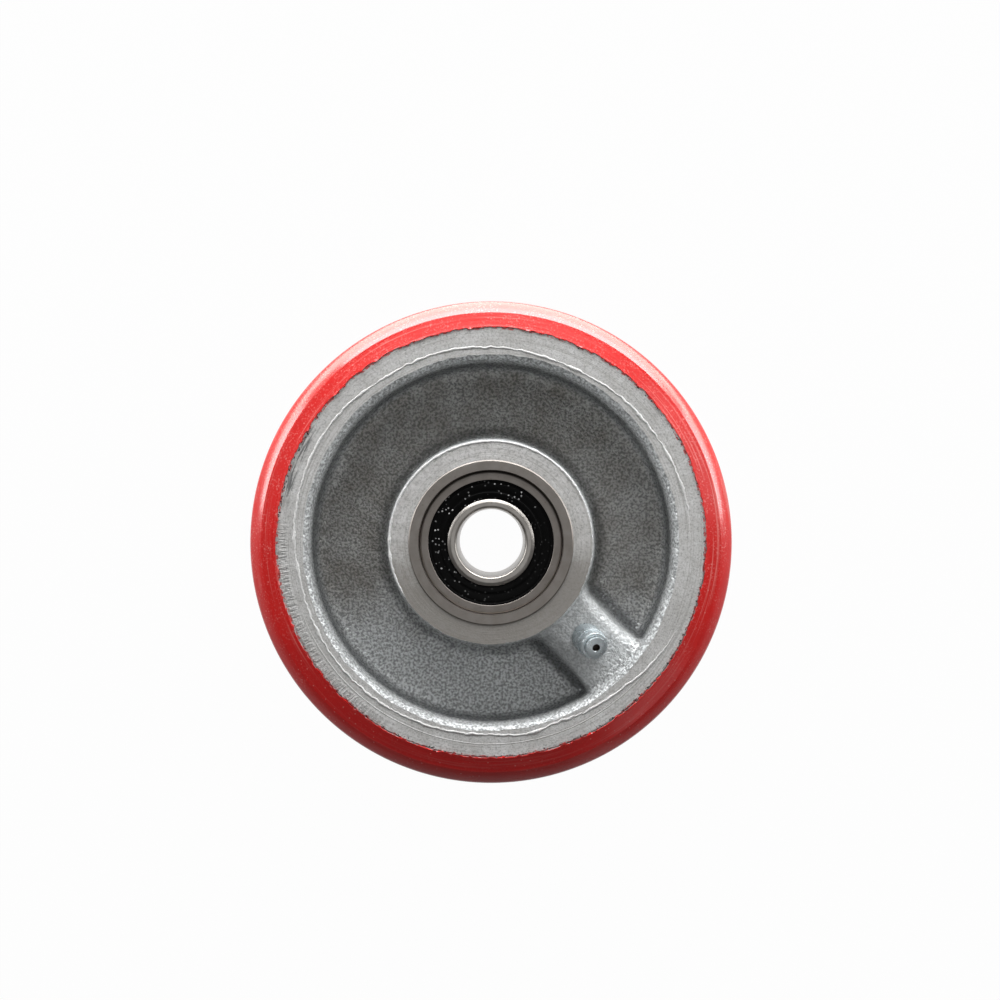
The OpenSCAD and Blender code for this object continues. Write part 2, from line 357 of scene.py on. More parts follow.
class Graph:
    """Adds and wires the shader nodes of one material or node group."""

    def __init__(self, tree: bpy.types.NodeTree) -> None:
        """Starts on a tree.

        Args:
            tree: The node tree to build in.
        """
        self.tree = tree

    def add(self, kind: str, **settings: object) -> bpy.types.Node:
        """Adds a node.

        Args:
            kind: The node's type.
            **settings: Its properties by name.

        Returns:
            The node.
        """
        node = self.tree.nodes.new(kind)
        for key, value in settings.items():
            setattr(node, key, value)
        return node

    def feed(self, socket: Socket, value: object) -> None:
        """Links a socket or sets its value.

        Args:
            socket: The input socket.
            value: Another node's output socket, or a plain value.
        """
        if isinstance(value, bpy.types.NodeSocket):
            self.tree.links.new(value, socket)
        else:
            socket.default_value = value

    def math(self, operation: str, *values: object, clamp: bool = False) -> Socket:
        """Adds a Math node.

        Args:
            operation: The node's operation.
            *values: Its values or sockets, in order.
            clamp: Whether the result is kept from 0 to 1.

        Returns:
            The result's socket.
        """
        node = self.add("ShaderNodeMath", operation=operation, use_clamp=clamp)
        for socket, value in zip(node.inputs, values):
            self.feed(socket, value)
        return node.outputs[0]

    def times(self, first: object, second: object) -> Socket:
        """Product of two values."""
        return self.math("MULTIPLY", first, second)

    def plus(self, first: object, second: object, clamp: bool = False) -> Socket:
        """Sum of two values, kept from 0 to 1 if clamp is set."""
        return self.math("ADD", first, second, clamp=clamp)

    def minus(self, first: object, second: object, clamp: bool = False) -> Socket:
        """First value less the second, kept from 0 to 1 if clamp is set."""
        return self.math("SUBTRACT", first, second, clamp=clamp)

    def vector(self, operation: str, *values: object) -> Socket:
        """Adds a Vector Math node.

        Args:
            operation: The node's operation.
            *values: Its vectors, as values or sockets.

        Returns:
            The result's socket, a value for a length or a dot product and a vector for the rest.
        """
        node = self.add("ShaderNodeVectorMath", operation=operation)
        for socket, value in zip(node.inputs, values):
            self.feed(socket, value)
        return node.outputs["Value" if operation in ("LENGTH", "DOT_PRODUCT") else "Vector"]

    def split(self, vector: Socket) -> Sequence[Socket]:
        """X, Y and Z of a vector."""
        node = self.add("ShaderNodeSeparateXYZ")
        self.feed(node.inputs[0], vector)
        return node.outputs

    def span(self, value: object, low: float, high: float, start: float = 0.0, end: float = 1.0) -> Socket:
        """Maps a span of values to another one, smoothly and clamped.

        Args:
            value: The value or socket.
            low: Value that gives start.
            high: Value that gives end.
            start: First result.
            end: Last result.

        Returns:
            The result's socket.
        """
        node = self.add("ShaderNodeMapRange", interpolation_type="SMOOTHSTEP")
        for socket, number in zip(node.inputs[:5], (value, low, high, start, end)):
            self.feed(socket, number)
        return node.outputs[0]

    def mix(self, factor: object, first: object, second: object) -> Socket:
        """Mixes two colours.

        Args:
            factor: Share of the second colour.
            first: First colour or socket.
            second: Second colour or socket.

        Returns:
            The mixed colour's socket.
        """
        node = self.add("ShaderNodeMix", data_type="RGBA")
        self.feed(node.inputs[0], factor)
        for socket, color in ((node.inputs[6], first), (node.inputs[7], second)):
            self.feed(socket, color if isinstance(color, bpy.types.NodeSocket) else (*color, 1.0))
        return node.outputs[2]

    def noise(self, vector: Socket, size: object, detail: float = 2.0, rough: float = 0.5) -> Socket:
        """Adds a Noise texture.

        Args:
            vector: Where it is read.
            size: Size of its lumps in metres, as a value or socket.
            detail: Levels of finer lumps.
            rough: Strength of the finer lumps.

        Returns:
            The noise's value, from 0 to 1.
        """
        node = self.add("ShaderNodeTexNoise")
        scale = self.math("DIVIDE", 1.0, size)
        for name, value in (("Vector", vector), ("Scale", scale), ("Detail", detail), ("Roughness", rough)):
            self.feed(node.inputs[name], value)
        return node.outputs["Fac"]

    def group(self, name: str, place: Socket, **values: object) -> bpy.types.Node:
        """Places a shared effect.

        Args:
            name: Name of the node group.
            place: Where it is read.
            **values: Its other inputs, by socket name with underscores for spaces.

        Returns:
            The group's node.
        """
        node = self.add("ShaderNodeGroup")
        node.node_tree = bpy.data.node_groups[name]
        self.feed(node.inputs["Vector"], place)
        for key, value in values.items():
            self.feed(node.inputs[key.replace("_", " ")], value)
        return node


class EffectShelf:
    """Builds the shader effects that several finishes share, each once."""

    @staticmethod
    def start(name: str, outputs: dict[str, str], **inputs: float) -> tuple[Graph, Sockets, Sockets]:
        """Begins a node group, which always has a vector as its first input.

        Args:
            name: The group's name.
            outputs: Its outputs by name, each Float or Vector.
            **inputs: Default of each other input, by name with underscores for spaces.

        Returns:
            The group's graph, its given values by name and the sockets of its results by name.
        """
        tree = bpy.data.node_groups.new(name, "ShaderNodeTree")
        tree.interface.new_socket("Vector", in_out="INPUT", socket_type="NodeSocketVector")
        for label, default in inputs.items():
            socket = tree.interface.new_socket(label.replace("_", " "), in_out="INPUT",
                                               socket_type="NodeSocketFloat")
            socket.default_value = default
        for label, kind in outputs.items():
            tree.interface.new_socket(label, in_out="OUTPUT", socket_type=f"NodeSocket{kind}")
        graph = Graph(tree)
        source, sink = graph.add("NodeGroupInput"), graph.add("NodeGroupOutput")
        return (graph, {socket.name: socket for socket in source.outputs},
                {socket.name: socket for socket in sink.inputs})

    def polar_frame(self) -> None:
        """Radius and angle around the axle, and a point that turns with the angle."""
        outputs = {"Radius": "Float", "Angle": "Float", "Turn": "Vector"}
        graph, given, result = self.start("polar_frame", outputs)
        parts = graph.split(given["Vector"])
        flat = graph.add("ShaderNodeCombineXYZ")
        graph.feed(flat.inputs[0], parts[0])
        graph.feed(flat.inputs[1], parts[1])
        graph.feed(result["Radius"], graph.vector("LENGTH", flat.outputs[0]))
        graph.feed(result["Angle"], graph.math("ARCTAN2", parts[1], parts[0]))
        graph.feed(result["Turn"], graph.vector("NORMALIZE", flat.outputs[0]))

    def turned_lines(self) -> None:
        """Fine rings that a lathe tool leaves, which fade in and out along their way."""
        graph, given, result = self.start("turned_lines", {"Height": "Float"}, Pitch=0.0004, Wander=2.0)
        polar = graph.group("polar_frame", given["Vector"])
        spot = graph.add("ShaderNodeVectorMath", operation="SCALE")
        graph.feed(spot.inputs[0], polar.outputs["Turn"])
        graph.feed(spot.inputs["Scale"], given["Wander"])
        across = graph.plus(polar.outputs["Radius"], graph.split(given["Vector"])[2])
        rings = graph.add("ShaderNodeCombineXYZ")
        graph.feed(rings.inputs[2], graph.math("DIVIDE", across, given["Pitch"]))
        place = graph.vector("ADD", spot.outputs[0], rings.outputs[0])
        graph.feed(result["Height"], graph.noise(place, 1.0, detail=3.0, rough=0.6))

    def blotch(self) -> None:
        """Soft patches, with a contrast that can be pushed."""
        graph, given, result = self.start("blotch", {"Mask": "Float"}, Size=0.01, Push=1.0)
        value = graph.noise(given["Vector"], given["Size"], detail=3.0, rough=0.55)
        pushed = graph.times(graph.minus(value, 0.5), given["Push"])
        graph.feed(result["Mask"], graph.plus(pushed, 0.5, clamp=True))

    def cast_grain(self) -> None:
        """Sand cast skin under paint: rounded grains, and the pits between them."""
        graph, given, result = self.start("cast_grain", {"Height": "Float", "Pits": "Float"}, Size=0.0015)
        lumps = graph.noise(given["Vector"], given["Size"])
        broad = graph.noise(given["Vector"], graph.times(given["Size"], 3.1), detail=1.0)
        graph.feed(result["Height"], graph.plus(graph.times(lumps, 0.7), graph.times(broad, 0.5)))
        graph.feed(result["Pits"], graph.span(lumps, 0.64, 0.36))

    def specks(self) -> None:
        """Scattered dots, used for dust, tarnish and painted highlights: a share of the cells of a Voronoi
        texture.
        """
        graph, given, result = self.start("specks", {"Mask": "Float"}, Size=0.001, Share=0.2)
        cells = graph.add("ShaderNodeTexVoronoi")
        graph.feed(cells.inputs["Vector"], given["Vector"])
        graph.feed(cells.inputs["Scale"], graph.math("DIVIDE", 1.0, given["Size"]))
        dot = graph.span(cells.outputs["Distance"], 0.34, 0.14)
        chosen = graph.math("LESS_THAN", graph.split(cells.outputs["Color"])[0], given["Share"])
        graph.feed(result["Mask"], graph.times(dot, chosen))

    def ring_band(self) -> None:
        """A ring around the axle whose edges wander."""
        graph, given, result = self.start("ring_band", {"Mask": "Float"}, Radius=0.07, Half_Width=0.001,
                                          Soft=0.0003, Ragged=0.0, Rag_Size=0.002)
        polar = graph.group("polar_frame", given["Vector"])
        rag = graph.minus(graph.noise(given["Vector"], given["Rag Size"]), 0.5)
        shifted = graph.plus(polar.outputs["Radius"], graph.times(rag, given["Ragged"]))
        off = graph.math("ABSOLUTE", graph.minus(shifted, given["Radius"]))
        past = graph.math("DIVIDE", graph.minus(off, given["Half Width"]), given["Soft"])
        graph.feed(result["Mask"], graph.minus(1.0, past, clamp=True))

    def arc_window(self) -> None:
        """A stretch of the way around the axle, in degrees, faded at both ends."""
        graph, given, result = self.start("arc_window", {"Mask": "Float"}, Middle=0.0, Half_Width=30.0,
                                          Soft=10.0)
        degrees = graph.math("DEGREES", graph.group("polar_frame", given["Vector"]).outputs["Angle"])
        wrapped = graph.math("WRAP", graph.minus(degrees, given["Middle"]), 180.0, -180.0)
        past = graph.minus(graph.math("ABSOLUTE", wrapped), given["Half Width"])
        graph.feed(result["Mask"], graph.minus(1.0, graph.math("DIVIDE", past, given["Soft"]), clamp=True))

    def build(self) -> None:
        """Builds every shared effect."""
        for effect in (self.polar_frame, self.arc_window, self.turned_lines, self.blotch, self.cast_grain,
                       self.specks, self.ring_band):
            effect()


class Surface(Graph):
    """The graph of one material, with its Principled BSDF and the colour that it has so far."""

    def __init__(self, name: str, color: Color) -> None:
        """Makes the material.

        Args:
            name: The material's name.
            color: Its first colour.
        """
        self.material = bpy.data.materials.new(name)
        self.material.use_nodes = True
        super().__init__(self.material.node_tree)
        self.shader = next(node for node in self.tree.nodes if node.type == "BSDF_PRINCIPLED")
        self.place = self.add("ShaderNodeTexCoord").outputs["Object"]
        self.tint: Color | Socket = color

    def effect(self, name: str, **values: object) -> Socket:
        """First output of a shared effect, read at the object's own coordinates."""
        return self.group(name, self.place, **values).outputs[0]

    def lines(self, pitch: float, wander: float) -> Socket:
        """Turned rings with a pitch in millimetres."""
        return self.effect("turned_lines", Pitch=pitch * MM, Wander=wander)

    def patches(self, size: float, push: float) -> Socket:
        """Soft patches with a size in millimetres."""
        return self.effect("blotch", Size=size * MM, Push=push)

    def dots(self, size: float, share: float) -> Socket:
        """Scattered dots with cells of a size in millimetres."""
        return self.effect("specks", Size=size * MM, Share=share)

    def grains(self, size: float, detail: float = 2.0, rough: float = 0.5) -> Socket:
        """Plain noise with lumps of a size in millimetres."""
        return self.noise(self.place, size * MM, detail, rough)

    def around(self, middle: float, half: float, soft: float) -> Socket:
        """Mask of a stretch around the axle: its middle, half extent and fading, in degrees."""
        return self.effect("arc_window", Middle=middle, Half_Width=half, Soft=soft)

    def ring(self, radius: float, half: float, ragged: float, size: float, soft: float = 0.15) -> Socket:
        """Mask of a wandering ring around the axle.

        Args:
            radius: Its radius.
            half: Half of its width.
            ragged: How far its edges wander.
            size: Size of their waves.
            soft: Width of its blurred edges.

        Returns:
            The mask.
        """
        return self.effect("ring_band", Radius=radius * MM, Half_Width=half * MM, Soft=soft * MM,
                           Ragged=ragged * MM, Rag_Size=size * MM)

    def stain(self, mask: Socket, color: Color, share: float = 1.0) -> None:
        """Mixes a colour into the one so far.

        Args:
            mask: Where it goes.
            color: The colour.
            share: How much of it the mask's 1 gives.
        """
        factor = mask if share == 1.0 else self.times(mask, share)
        self.tint = self.mix(factor, self.tint, color)

    def roughen(self, low: float, mask: Socket, rise: float) -> None:
        """Feeds the roughness: low where the mask is 0, higher by rise where it is 1."""
        self.feed(self.shader.inputs["Roughness"], self.plus(low, self.times(mask, rise)))

    def close(self, height: Socket, depth: float) -> bpy.types.Material:
        """Feeds the colour and the relief to the shader.

        Args:
            height: Height of the relief, from 0 to 1.
            depth: How deep 1 is, in millimetres.

        Returns:
            The finished material.
        """
        bump = self.add("ShaderNodeBump")
        bump.inputs["Distance"].default_value = depth * MM
        self.feed(bump.inputs["Height"], height)
        self.feed(self.shader.inputs["Normal"], bump.outputs[0])
        self.feed(self.shader.inputs["Base Color"], self.tint)
        return self.material


@dataclass(frozen=True)
class Finish:
    """What every finish has: a name and the plain values of its shader."""

    name: str
    color: Color
    roughness: float
    metallic: float = 0.0
    specular: float = 0.5
    coat: float = 0.0
    coat_roughness: float = 0.16

    def build(self) -> bpy.types.Material:
        """Makes the material.

        Returns:
            The material with its shader wired.
        """
        skin = Surface(self.name, self.color)
        skin.material.diffuse_color = (*self.color, 1.0)
        for label, value in (("Roughness", self.roughness), ("Metallic", self.metallic),
                             ("Specular IOR Level", self.specular), ("Coat Weight", self.coat),
                             ("Coat Roughness", self.coat_roughness)):
            skin.shader.inputs[label].default_value = value
        height, depth = self.dress(skin)
        return skin.close(height, depth)

    def dress(self, skin: Surface) -> tuple[Socket, float]:
        """Wires colour and roughness. Each finish has its own.

        Args:
            skin: The material's graph.

        Returns:
            Height of the relief, and how deep 1 is in millimetres.
        """
        raise NotImplementedError


@dataclass(frozen=True)
class PolyurethaneFinish(Finish):
    """Red cast polyurethane, turned on its sides, with dust, pale scuffs and painted sheen towards +Y."""

    deep_color: Color = (0.46, 0.004, 0.004)
    dust_and_highlight_color: Color = (0.86, 0.40, 0.36)
    line_pitch: float = 0.5
    line_depth: float = 0.05

    def dress(self, skin: Surface) -> tuple[Socket, float]:
        """Wires turned lines, cloudy depth, dust specks, scuffs and painted sheen towards +Y.

        Args:
            skin: The material's graph.

        Returns:
            Height of the relief, and how deep 1 is in millimetres.
        """
        lines = skin.lines(self.line_pitch, 1.6)
        scuffed = skin.patches(6, 3.0)
        grain = skin.grains(0.7)
        _, up, out = skin.split(skin.place)
        # Painted sheen: the pale haze and the pale turned lines are strong towards +Y, the lit side, and
        # faint towards -Y.
        lit_upper = skin.span(up, -70 * MM, 10 * MM, 0.2, 1.0)
        side = skin.times(lit_upper, skin.span(skin.math("ABSOLUTE", out), 13 * MM, 19 * MM, 0.3, 1.0))
        skin.stain(skin.patches(14, 1.6), self.deep_color, 0.5)
        scuff_and_sheen_haze = skin.times(skin.span(grain, 0.5, 0.75), skin.times(scuffed, 0.5))
        skin.stain(skin.times(scuff_and_sheen_haze, side), self.dust_and_highlight_color)
        skin.stain(skin.times(skin.span(lines, 0.54, 0.72), side), self.dust_and_highlight_color, 0.35)
        skin.stain(skin.dots(1.1, 0.07), self.dust_and_highlight_color, 0.4)
        skin.stain(skin.times(skin.span(skin.lines(1.3, 0.7), 0.6, 0.66), side), self.dust_and_highlight_color, 0.35)
        skin.roughen(self.roughness - 0.12, lines, 0.26)
        return skin.plus(lines, skin.times(grain, 0.5)), self.line_depth


@dataclass(frozen=True)
class CastPaintFinish(Finish):
    """Silver grey paint on the cast skin; its recessed web is darker towards +Y, partly from thinner paint
    and partly from painted shade, and painted shade darkens its corners.
    """

    thin_paint_and_shade_color: Color = (0.29, 0.277, 0.254)
    corner_shade_color: Color = (0.085, 0.092, 0.096)
    pit_color: Color = (0.055, 0.055, 0.053)
    grain: float = 0.92
    depth: float = 0.7
    rim_corner: Point = (66.8, 2.5)
    hub_corner: Point = (41.0, 2.0)
    rib_corner: Point = (14.8, 1.6)

    def dress(self, skin: Surface) -> tuple[Socket, float]:
        """Wires grains, pits, patches, the darker web and the painted shade in the corners along rim, hub and
        rib.

        Args:
            skin: The material's graph.

        Returns:
            Height of the relief, and how deep 1 is in millimetres.
        """
        grain = skin.group("cast_grain", skin.place, Size=self.grain * MM)
        pits = grain.outputs["Pits"]
        patch = skin.patches(12, 2.0)
        parts = skin.split(skin.place)
        out = skin.math("ABSOLUTE", parts[2])
        # Partly thinner paint, partly painted shade: the recessed web is darker and browner towards +Y, where
        # the rim wall shades it.
        shaded_upper_side = skin.span(skin.plus(parts[1], skin.times(patch, 12 * MM)), -4 * MM, -36 * MM, 1.0, 0.0)
        thinner_paint_and_shade = skin.times(skin.span(out, 10 * MM, 7 * MM), skin.plus(0.55, skin.times(patch, 0.5)))
        skin.stain(skin.times(thinner_paint_and_shade, shaded_upper_side), self.thin_paint_and_shade_color)
        deep = skin.span(out, 21 * MM, 14 * MM)
        # Painted shade: dark bands in the fillets at the foot of the rim wall, around the hub's foot and
        # along the rib's feet, only down in the recess.
        for (radius, half), ragged, share in ((self.rim_corner, 1.2, 0.85), (self.hub_corner, 3.0, 0.4)):
            band = skin.ring(radius, half * 0.3, ragged, 2.4, half)
            skin.stain(skin.times(band, deep), self.corner_shade_color, share)
        skin.stain(skin.times(self.rib_feet(skin, parts), deep), self.corner_shade_color, 0.85)
        rib_top = skin.times(skin.ring(50, 12, 0.0, 2.4, 3), skin.span(out, 10 * MM, 12 * MM))
        skin.stain(skin.times(pits, skin.minus(0.6, skin.times(rib_top, 0.28))), self.pit_color)
        skin.roughen(self.roughness - 0.08, pits, 0.3)
        return grain.outputs["Height"], self.depth

    def rib_feet(self, skin: Surface, parts: Sequence[Socket]) -> Socket:
        """Mask of the painted shade in the two corners along the feet of the rib, which lies 45 degrees below
        +X.

        Args:
            skin: The material's graph.
            parts: Object coordinates X, Y and Z.

        Returns:
            The mask.
        """
        middle, half = self.rib_corner
        across = skin.vector("DOT_PRODUCT", skin.place, (0.7071, 0.7071, 0.0))
        along = skin.minus(parts[0], parts[1])
        off = skin.math("ABSOLUTE", skin.minus(skin.math("ABSOLUTE", across), middle * MM))
        band = skin.span(off, 2.4 * half * MM, 0.3 * half * MM)
        stretch = skin.times(skin.span(along, 50 * MM, 58 * MM), skin.span(along, 94 * MM, 88 * MM))
        return skin.times(skin.times(band, stretch), skin.span(parts[2], 0.0, 2 * MM))


@dataclass(frozen=True)
class MachinedPaintFinish(Finish):
    """Grey paint sprayed over a turned face, with worn patches."""

    worn_color: Color = (0.33, 0.32, 0.30)
    pore_color: Color = (0.13, 0.13, 0.125)
    line_pitch: float = 0.6
    line_depth: float = 0.08

    def dress(self, skin: Surface) -> tuple[Socket, float]:
        """Wires the sprayed coat.

        Args:
            skin: The material's graph.

        Returns:
            Height of the relief, and how deep 1 is in millimetres.
        """
        lines = skin.lines(self.line_pitch, 1.2)
        grain = skin.grains(0.75, detail=3.0, rough=0.65)
        skin.stain(skin.patches(9, 2.2), self.worn_color, 0.4)
        skin.stain(skin.patches(2.2, 3.5), self.worn_color, 0.3)
        skin.stain(skin.span(lines, 0.52, 0.3), self.worn_color, 0.55)
        skin.stain(skin.span(grain, 0.55, 0.3), self.pore_color, 0.5)
        skin.roughen(self.roughness - 0.1, grain, 0.2)
        return skin.plus(lines, skin.times(grain, 1.3)), self.line_depth


@dataclass(frozen=True)
class HubFaceFinish(MachinedPaintFinish):
    """The hub face, darker and browner towards -Y."""

    lower_side_color: Color = (0.21, 0.195, 0.175)

    def dress(self, skin: Surface) -> tuple[Socket, float]:
        """Wires the coat and its darker, browner side towards -Y.

        Args:
            skin: The material's graph.

        Returns:
            Height of the relief, and how deep 1 is in millimetres.
        """
        height, depth = super().dress(skin)
        # Darker and browner towards -Y.
        drift = skin.times(skin.grains(12, detail=3.0), 30 * MM)
        lower_side = skin.span(skin.plus(skin.split(skin.place)[1], drift), 24 * MM, -6 * MM)
        skin.stain(lower_side, self.lower_side_color, 0.85)
        return height, depth


@dataclass(frozen=True)
class RimFaceFinish(MachinedPaintFinish):
    """The rim's turned face: nicked and smeared with red along the tyre, rubbed and wrinkled in places, with
    painted shadow in its chips and in the gap along the tyre.
    """

    rim_r: float = 78.6
    nick_shadow_color: Color = (0.012, 0.012, 0.012)
    smear_color: Color = (0.50, 0.012, 0.010)
    rub_color: Color = (0.09, 0.095, 0.095)
    scored_color: Color = (0.75, 0.75, 0.74)

    def dress(self, skin: Surface) -> tuple[Socket, float]:
        """Wires the coat, then the marks that the tyre's casting and handling left, with painted shadow in
        the chips and the gap.

        Args:
            skin: The material's graph.

        Returns:
            Height of the relief, and how deep 1 is in millimetres.
        """
        height, depth = super().dress(skin)
        rub = skin.times(skin.ring(76.4, 0.9, 2.2, 4.0, 1.0), skin.around(158.0, 7.0, 7.0))
        skin.stain(skin.times(rub, skin.span(skin.lines(0.7, 9.0), 0.42, 0.58)), self.rub_color, 0.85)
        scored = skin.times(skin.ring(73.5, 0.07, 0.3, 14.0), skin.around(263.0, 52.0, 14.0))
        skin.stain(scored, self.scored_color, 0.6)
        wrinkles = skin.times(skin.ring(76.2, 1.2, 1.0, 5.0, 0.8), skin.around(208.0, 26.0, 10.0))
        wrinkles = skin.times(wrinkles, skin.span(skin.lines(4.0, 80.0), 0.4, 0.6))
        skin.stain(wrinkles, self.pore_color, 0.35)
        smear = skin.times(skin.ring(self.rim_r - 0.5, 0.3, 1.4, 1.6), skin.span(skin.grains(1.5), 0.5, 0.56))
        skin.stain(smear, self.smear_color, 0.8)
        chips_and_gap_shadow = self.chips_and_gap_shadow(skin)
        # Painted shadow: the chips and the gap along the tyre are near black.
        skin.stain(chips_and_gap_shadow, self.nick_shadow_color)
        height = skin.plus(height, skin.times(wrinkles, 2.5))
        height = skin.plus(height, skin.times(scored, 2.0))
        return skin.minus(height, skin.times(chips_and_gap_shadow, 3.0)), depth

    def chips_and_gap_shadow(self, skin: Surface) -> Socket:
        """Mask of the chips and the narrow gap along the tyre, which get painted shadow.

        Args:
            skin: The material's graph.

        Returns:
            The mask.
        """
        chipped = skin.math("MAXIMUM", skin.around(285.0, 60.0, 30.0), skin.around(158.0, 14.0, 8.0))
        chipped = skin.math("MAXIMUM", chipped, skin.around(22.0, 20.0, 15.0))
        chips = skin.plus(skin.grains(0.95, detail=3.0), skin.times(chipped, 0.07))
        chips = skin.times(skin.ring(self.rim_r - 0.7, 0.3, 2.0, 2.1), skin.span(chips, 0.64, 0.67))
        # Painted shadow: a dark ragged line in the gap between rim and tyre, towards -Y.
        gap = skin.times(skin.ring(self.rim_r - 0.35, 0.12, 0.9, 3.0, 0.2), skin.around(285.0, 62.0, 20.0))
        return skin.math("MAXIMUM", chips, skin.times(gap, 0.7))


@dataclass(frozen=True)
class TurnedMetalFinish(Finish):
    """Bare turned or ground metal with fine rings and light tarnish."""

    tarnish: Color = (0.16, 0.14, 0.12)
    line_pitch: float = 0.2
    line_depth: float = 0.01
    tarnish_share: float = 0.4

    def dress(self, skin: Surface) -> tuple[Socket, float]:
        """Wires rings, tarnish patches and small dark spots.

        Args:
            skin: The material's graph.

        Returns:
            Height of the relief, and how deep 1 is in millimetres.
        """
        lines = skin.lines(self.line_pitch, 0.8)
        skin.stain(skin.patches(5, 2.4), self.tarnish, self.tarnish_share)
        skin.stain(skin.dots(1.3, 0.12), self.tarnish, 0.35)
        skin.roughen(self.roughness - 0.1, lines, 0.2)
        return lines, self.line_depth


@dataclass(frozen=True)
class ZincFinish(Finish):
    """Smooth bluish zinc plating, dull in patches."""

    dull_color: Color = (0.40, 0.45, 0.48)
    grain_depth: float = 0.0015

    def dress(self, skin: Surface) -> tuple[Socket, float]:
        """Wires the dull patches and a very fine grain.

        Args:
            skin: The material's graph.

        Returns:
            Height of the relief, and how deep 1 is in millimetres.
        """
        patch = skin.patches(2.8, 2.0)
        skin.stain(patch, self.dull_color, 0.3)
        skin.stain(skin.dots(0.8, 0.06), self.dull_color, 0.2)
        skin.roughen(self.roughness - 0.05, patch, 0.12)
        return skin.grains(0.4), self.grain_depth


@dataclass(frozen=True)
class SealRubberFinish(Finish):
    """Black moulded rubber with grey specks, more of them towards +Y: partly dust, partly painted highlights
    on moulded lettering.
    """

    dust_and_highlight_color: Color = (0.62, 0.62, 0.62)
    grain_depth: float = 0.02

    def dress(self, skin: Surface) -> tuple[Socket, float]:
        """Wires the specks, partly dust and partly painted highlights, and a faint moulded grain.

        Args:
            skin: The material's graph.

        Returns:
            Height of the relief, and how deep 1 is in millimetres.
        """
        dust = skin.dots(1.2, 0.45)
        along, up, _ = skin.split(skin.place)
        # Painted highlights: the grey specks gather towards +Y, the lit side, and stand in for light on
        # moulded lettering as well as dust.
        lit_upper = skin.span(skin.minus(up, along), -14 * MM, 8 * MM, 0.08, 1.0)
        skin.stain(skin.times(dust, skin.times(skin.patches(7, 3.5), lit_upper)), self.dust_and_highlight_color)
        grain = skin.grains(0.3)
        skin.roughen(self.roughness - 0.06, grain, 0.15)
        return skin.plus(grain, dust), self.grain_depth


@dataclass(frozen=True)
class FloorFinish:
    """White studio floor: bright for the camera and for mirrors, most of all close to the wheel."""

    name: str = "studio_floor"
    color: Color = (0.3, 0.3, 0.3)
    roughness: float = 0.9
    glow: float = 0.98
    mirrored: float = 1.0
    mirrored_far: float = 0.05

    def build(self) -> bpy.types.Material:
        """Makes the material.

        Returns:
            The floor's material.
        """
        floor = Surface(self.name, self.color)
        sink = next(node for node in floor.tree.nodes if node.type == "OUTPUT_MATERIAL")
        for label, value in (("Base Color", (*self.color, 1.0)), ("Roughness", self.roughness),
                             ("Specular IOR Level", 0.0)):
            floor.shader.inputs[label].default_value = value
        glow = floor.add("ShaderNodeEmission")
        glow.inputs["Strength"].default_value = 1.0
        rays = floor.add("ShaderNodeLightPath").outputs
        reach = floor.vector("LENGTH", floor.place)
        share = floor.span(reach, 100 * MM, 180 * MM, self.mirrored, self.mirrored_far)
        seen = floor.plus(floor.plus(rays["Is Camera Ray"], rays["Is Transmission Ray"]),
                          floor.times(rays["Is Glossy Ray"], share), clamp=True)
        blend = floor.add("ShaderNodeMixShader")
        for socket, value in zip(blend.inputs, (floor.times(seen, self.glow), floor.shader.outputs[0],
                                                glow.outputs[0])):
            floor.feed(socket, value)
        floor.feed(sink.inputs["Surface"], blend.outputs[0])
        return floor.material


class Palette:
    """All finishes, made once."""

    def __init__(self) -> None:
        """Builds the shared effects and then the materials."""
        EffectShelf().build()
        self.red = PolyurethaneFinish("red_polyurethane", (0.68, 0.010, 0.008), 0.32, coat=1.0).build()
        self.cast = CastPaintFinish("cast_paint", (0.74, 0.76, 0.765), 0.36, metallic=0.3).build()
        self.rim_face = RimFaceFinish("rim_face_paint", (0.68, 0.68, 0.675), 0.5).build()
        self.hub_face = HubFaceFinish("hub_face_paint", (0.70, 0.695, 0.69), 0.5).build()
        # The crests' lighter paint is a painted highlight.
        self.crest = MachinedPaintFinish("paint_crest", (0.80, 0.80, 0.79), 0.35, worn_color=(0.6, 0.6, 0.59),
                                         pore_color=(0.4, 0.4, 0.4)).build()
        self.iron = TurnedMetalFinish("turned_iron", (0.33, 0.305, 0.283), 0.45, metallic=1.0).build()
        self.steel = TurnedMetalFinish("bearing_steel", (0.50, 0.475, 0.445), 0.35, metallic=1.0).build()
        self.ring_steel = TurnedMetalFinish("outer_ring_steel", (0.29, 0.265, 0.245), 0.4,
                                            metallic=1.0).build()
        self.seal = SealRubberFinish("seal_rubber", (0.002, 0.002, 0.002), 0.45, specular=0.06).build()
        self.zinc = ZincFinish("zinc_plate", (0.76, 0.83, 0.86), 0.27, metallic=0.85).build()
        # Grease on the check ball; the same dark finish is painted shade in the bearing seat's joint and
        # partly painted shade in the nipple's hole and neck groove.
        self.greased = TurnedMetalFinish("greased_steel", (0.06, 0.05, 0.043), 0.6, metallic=0.0,
                                         specular=0.2, tarnish=(0.03, 0.026, 0.022)).build()
        self.ball = TurnedMetalFinish("ball_steel", (0.75, 0.75, 0.75), 0.14, metallic=1.0,
                                      tarnish_share=0.1).build()
        self.cage = TurnedMetalFinish("cage_steel", (0.58, 0.56, 0.52), 0.34, metallic=1.0,
                                      tarnish_share=0.25).build()
        self.wire = TurnedMetalFinish("spring_steel", (0.55, 0.55, 0.56), 0.25, metallic=1.0,
                                      tarnish_share=0.2).build()


def hand_over(piece: bpy.types.Object, body: Body, slot: str, *nodes: str) -> None:
    """Ties a finished piece to the frame and reports it.

    Args:
        piece: The piece.
        body: The body it rides on.
        slot: The record's material slot. Not used.
        *nodes: The CAD nodes that it stands for.
    """
    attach(piece, body.value)
    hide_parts(*nodes)
    triangles = sum(len(face.vertices) - 2 for face in piece.data.polygons)
    LOG.info("%s: %d triangles, for %s", piece.name, triangles, ", ".join(nodes))


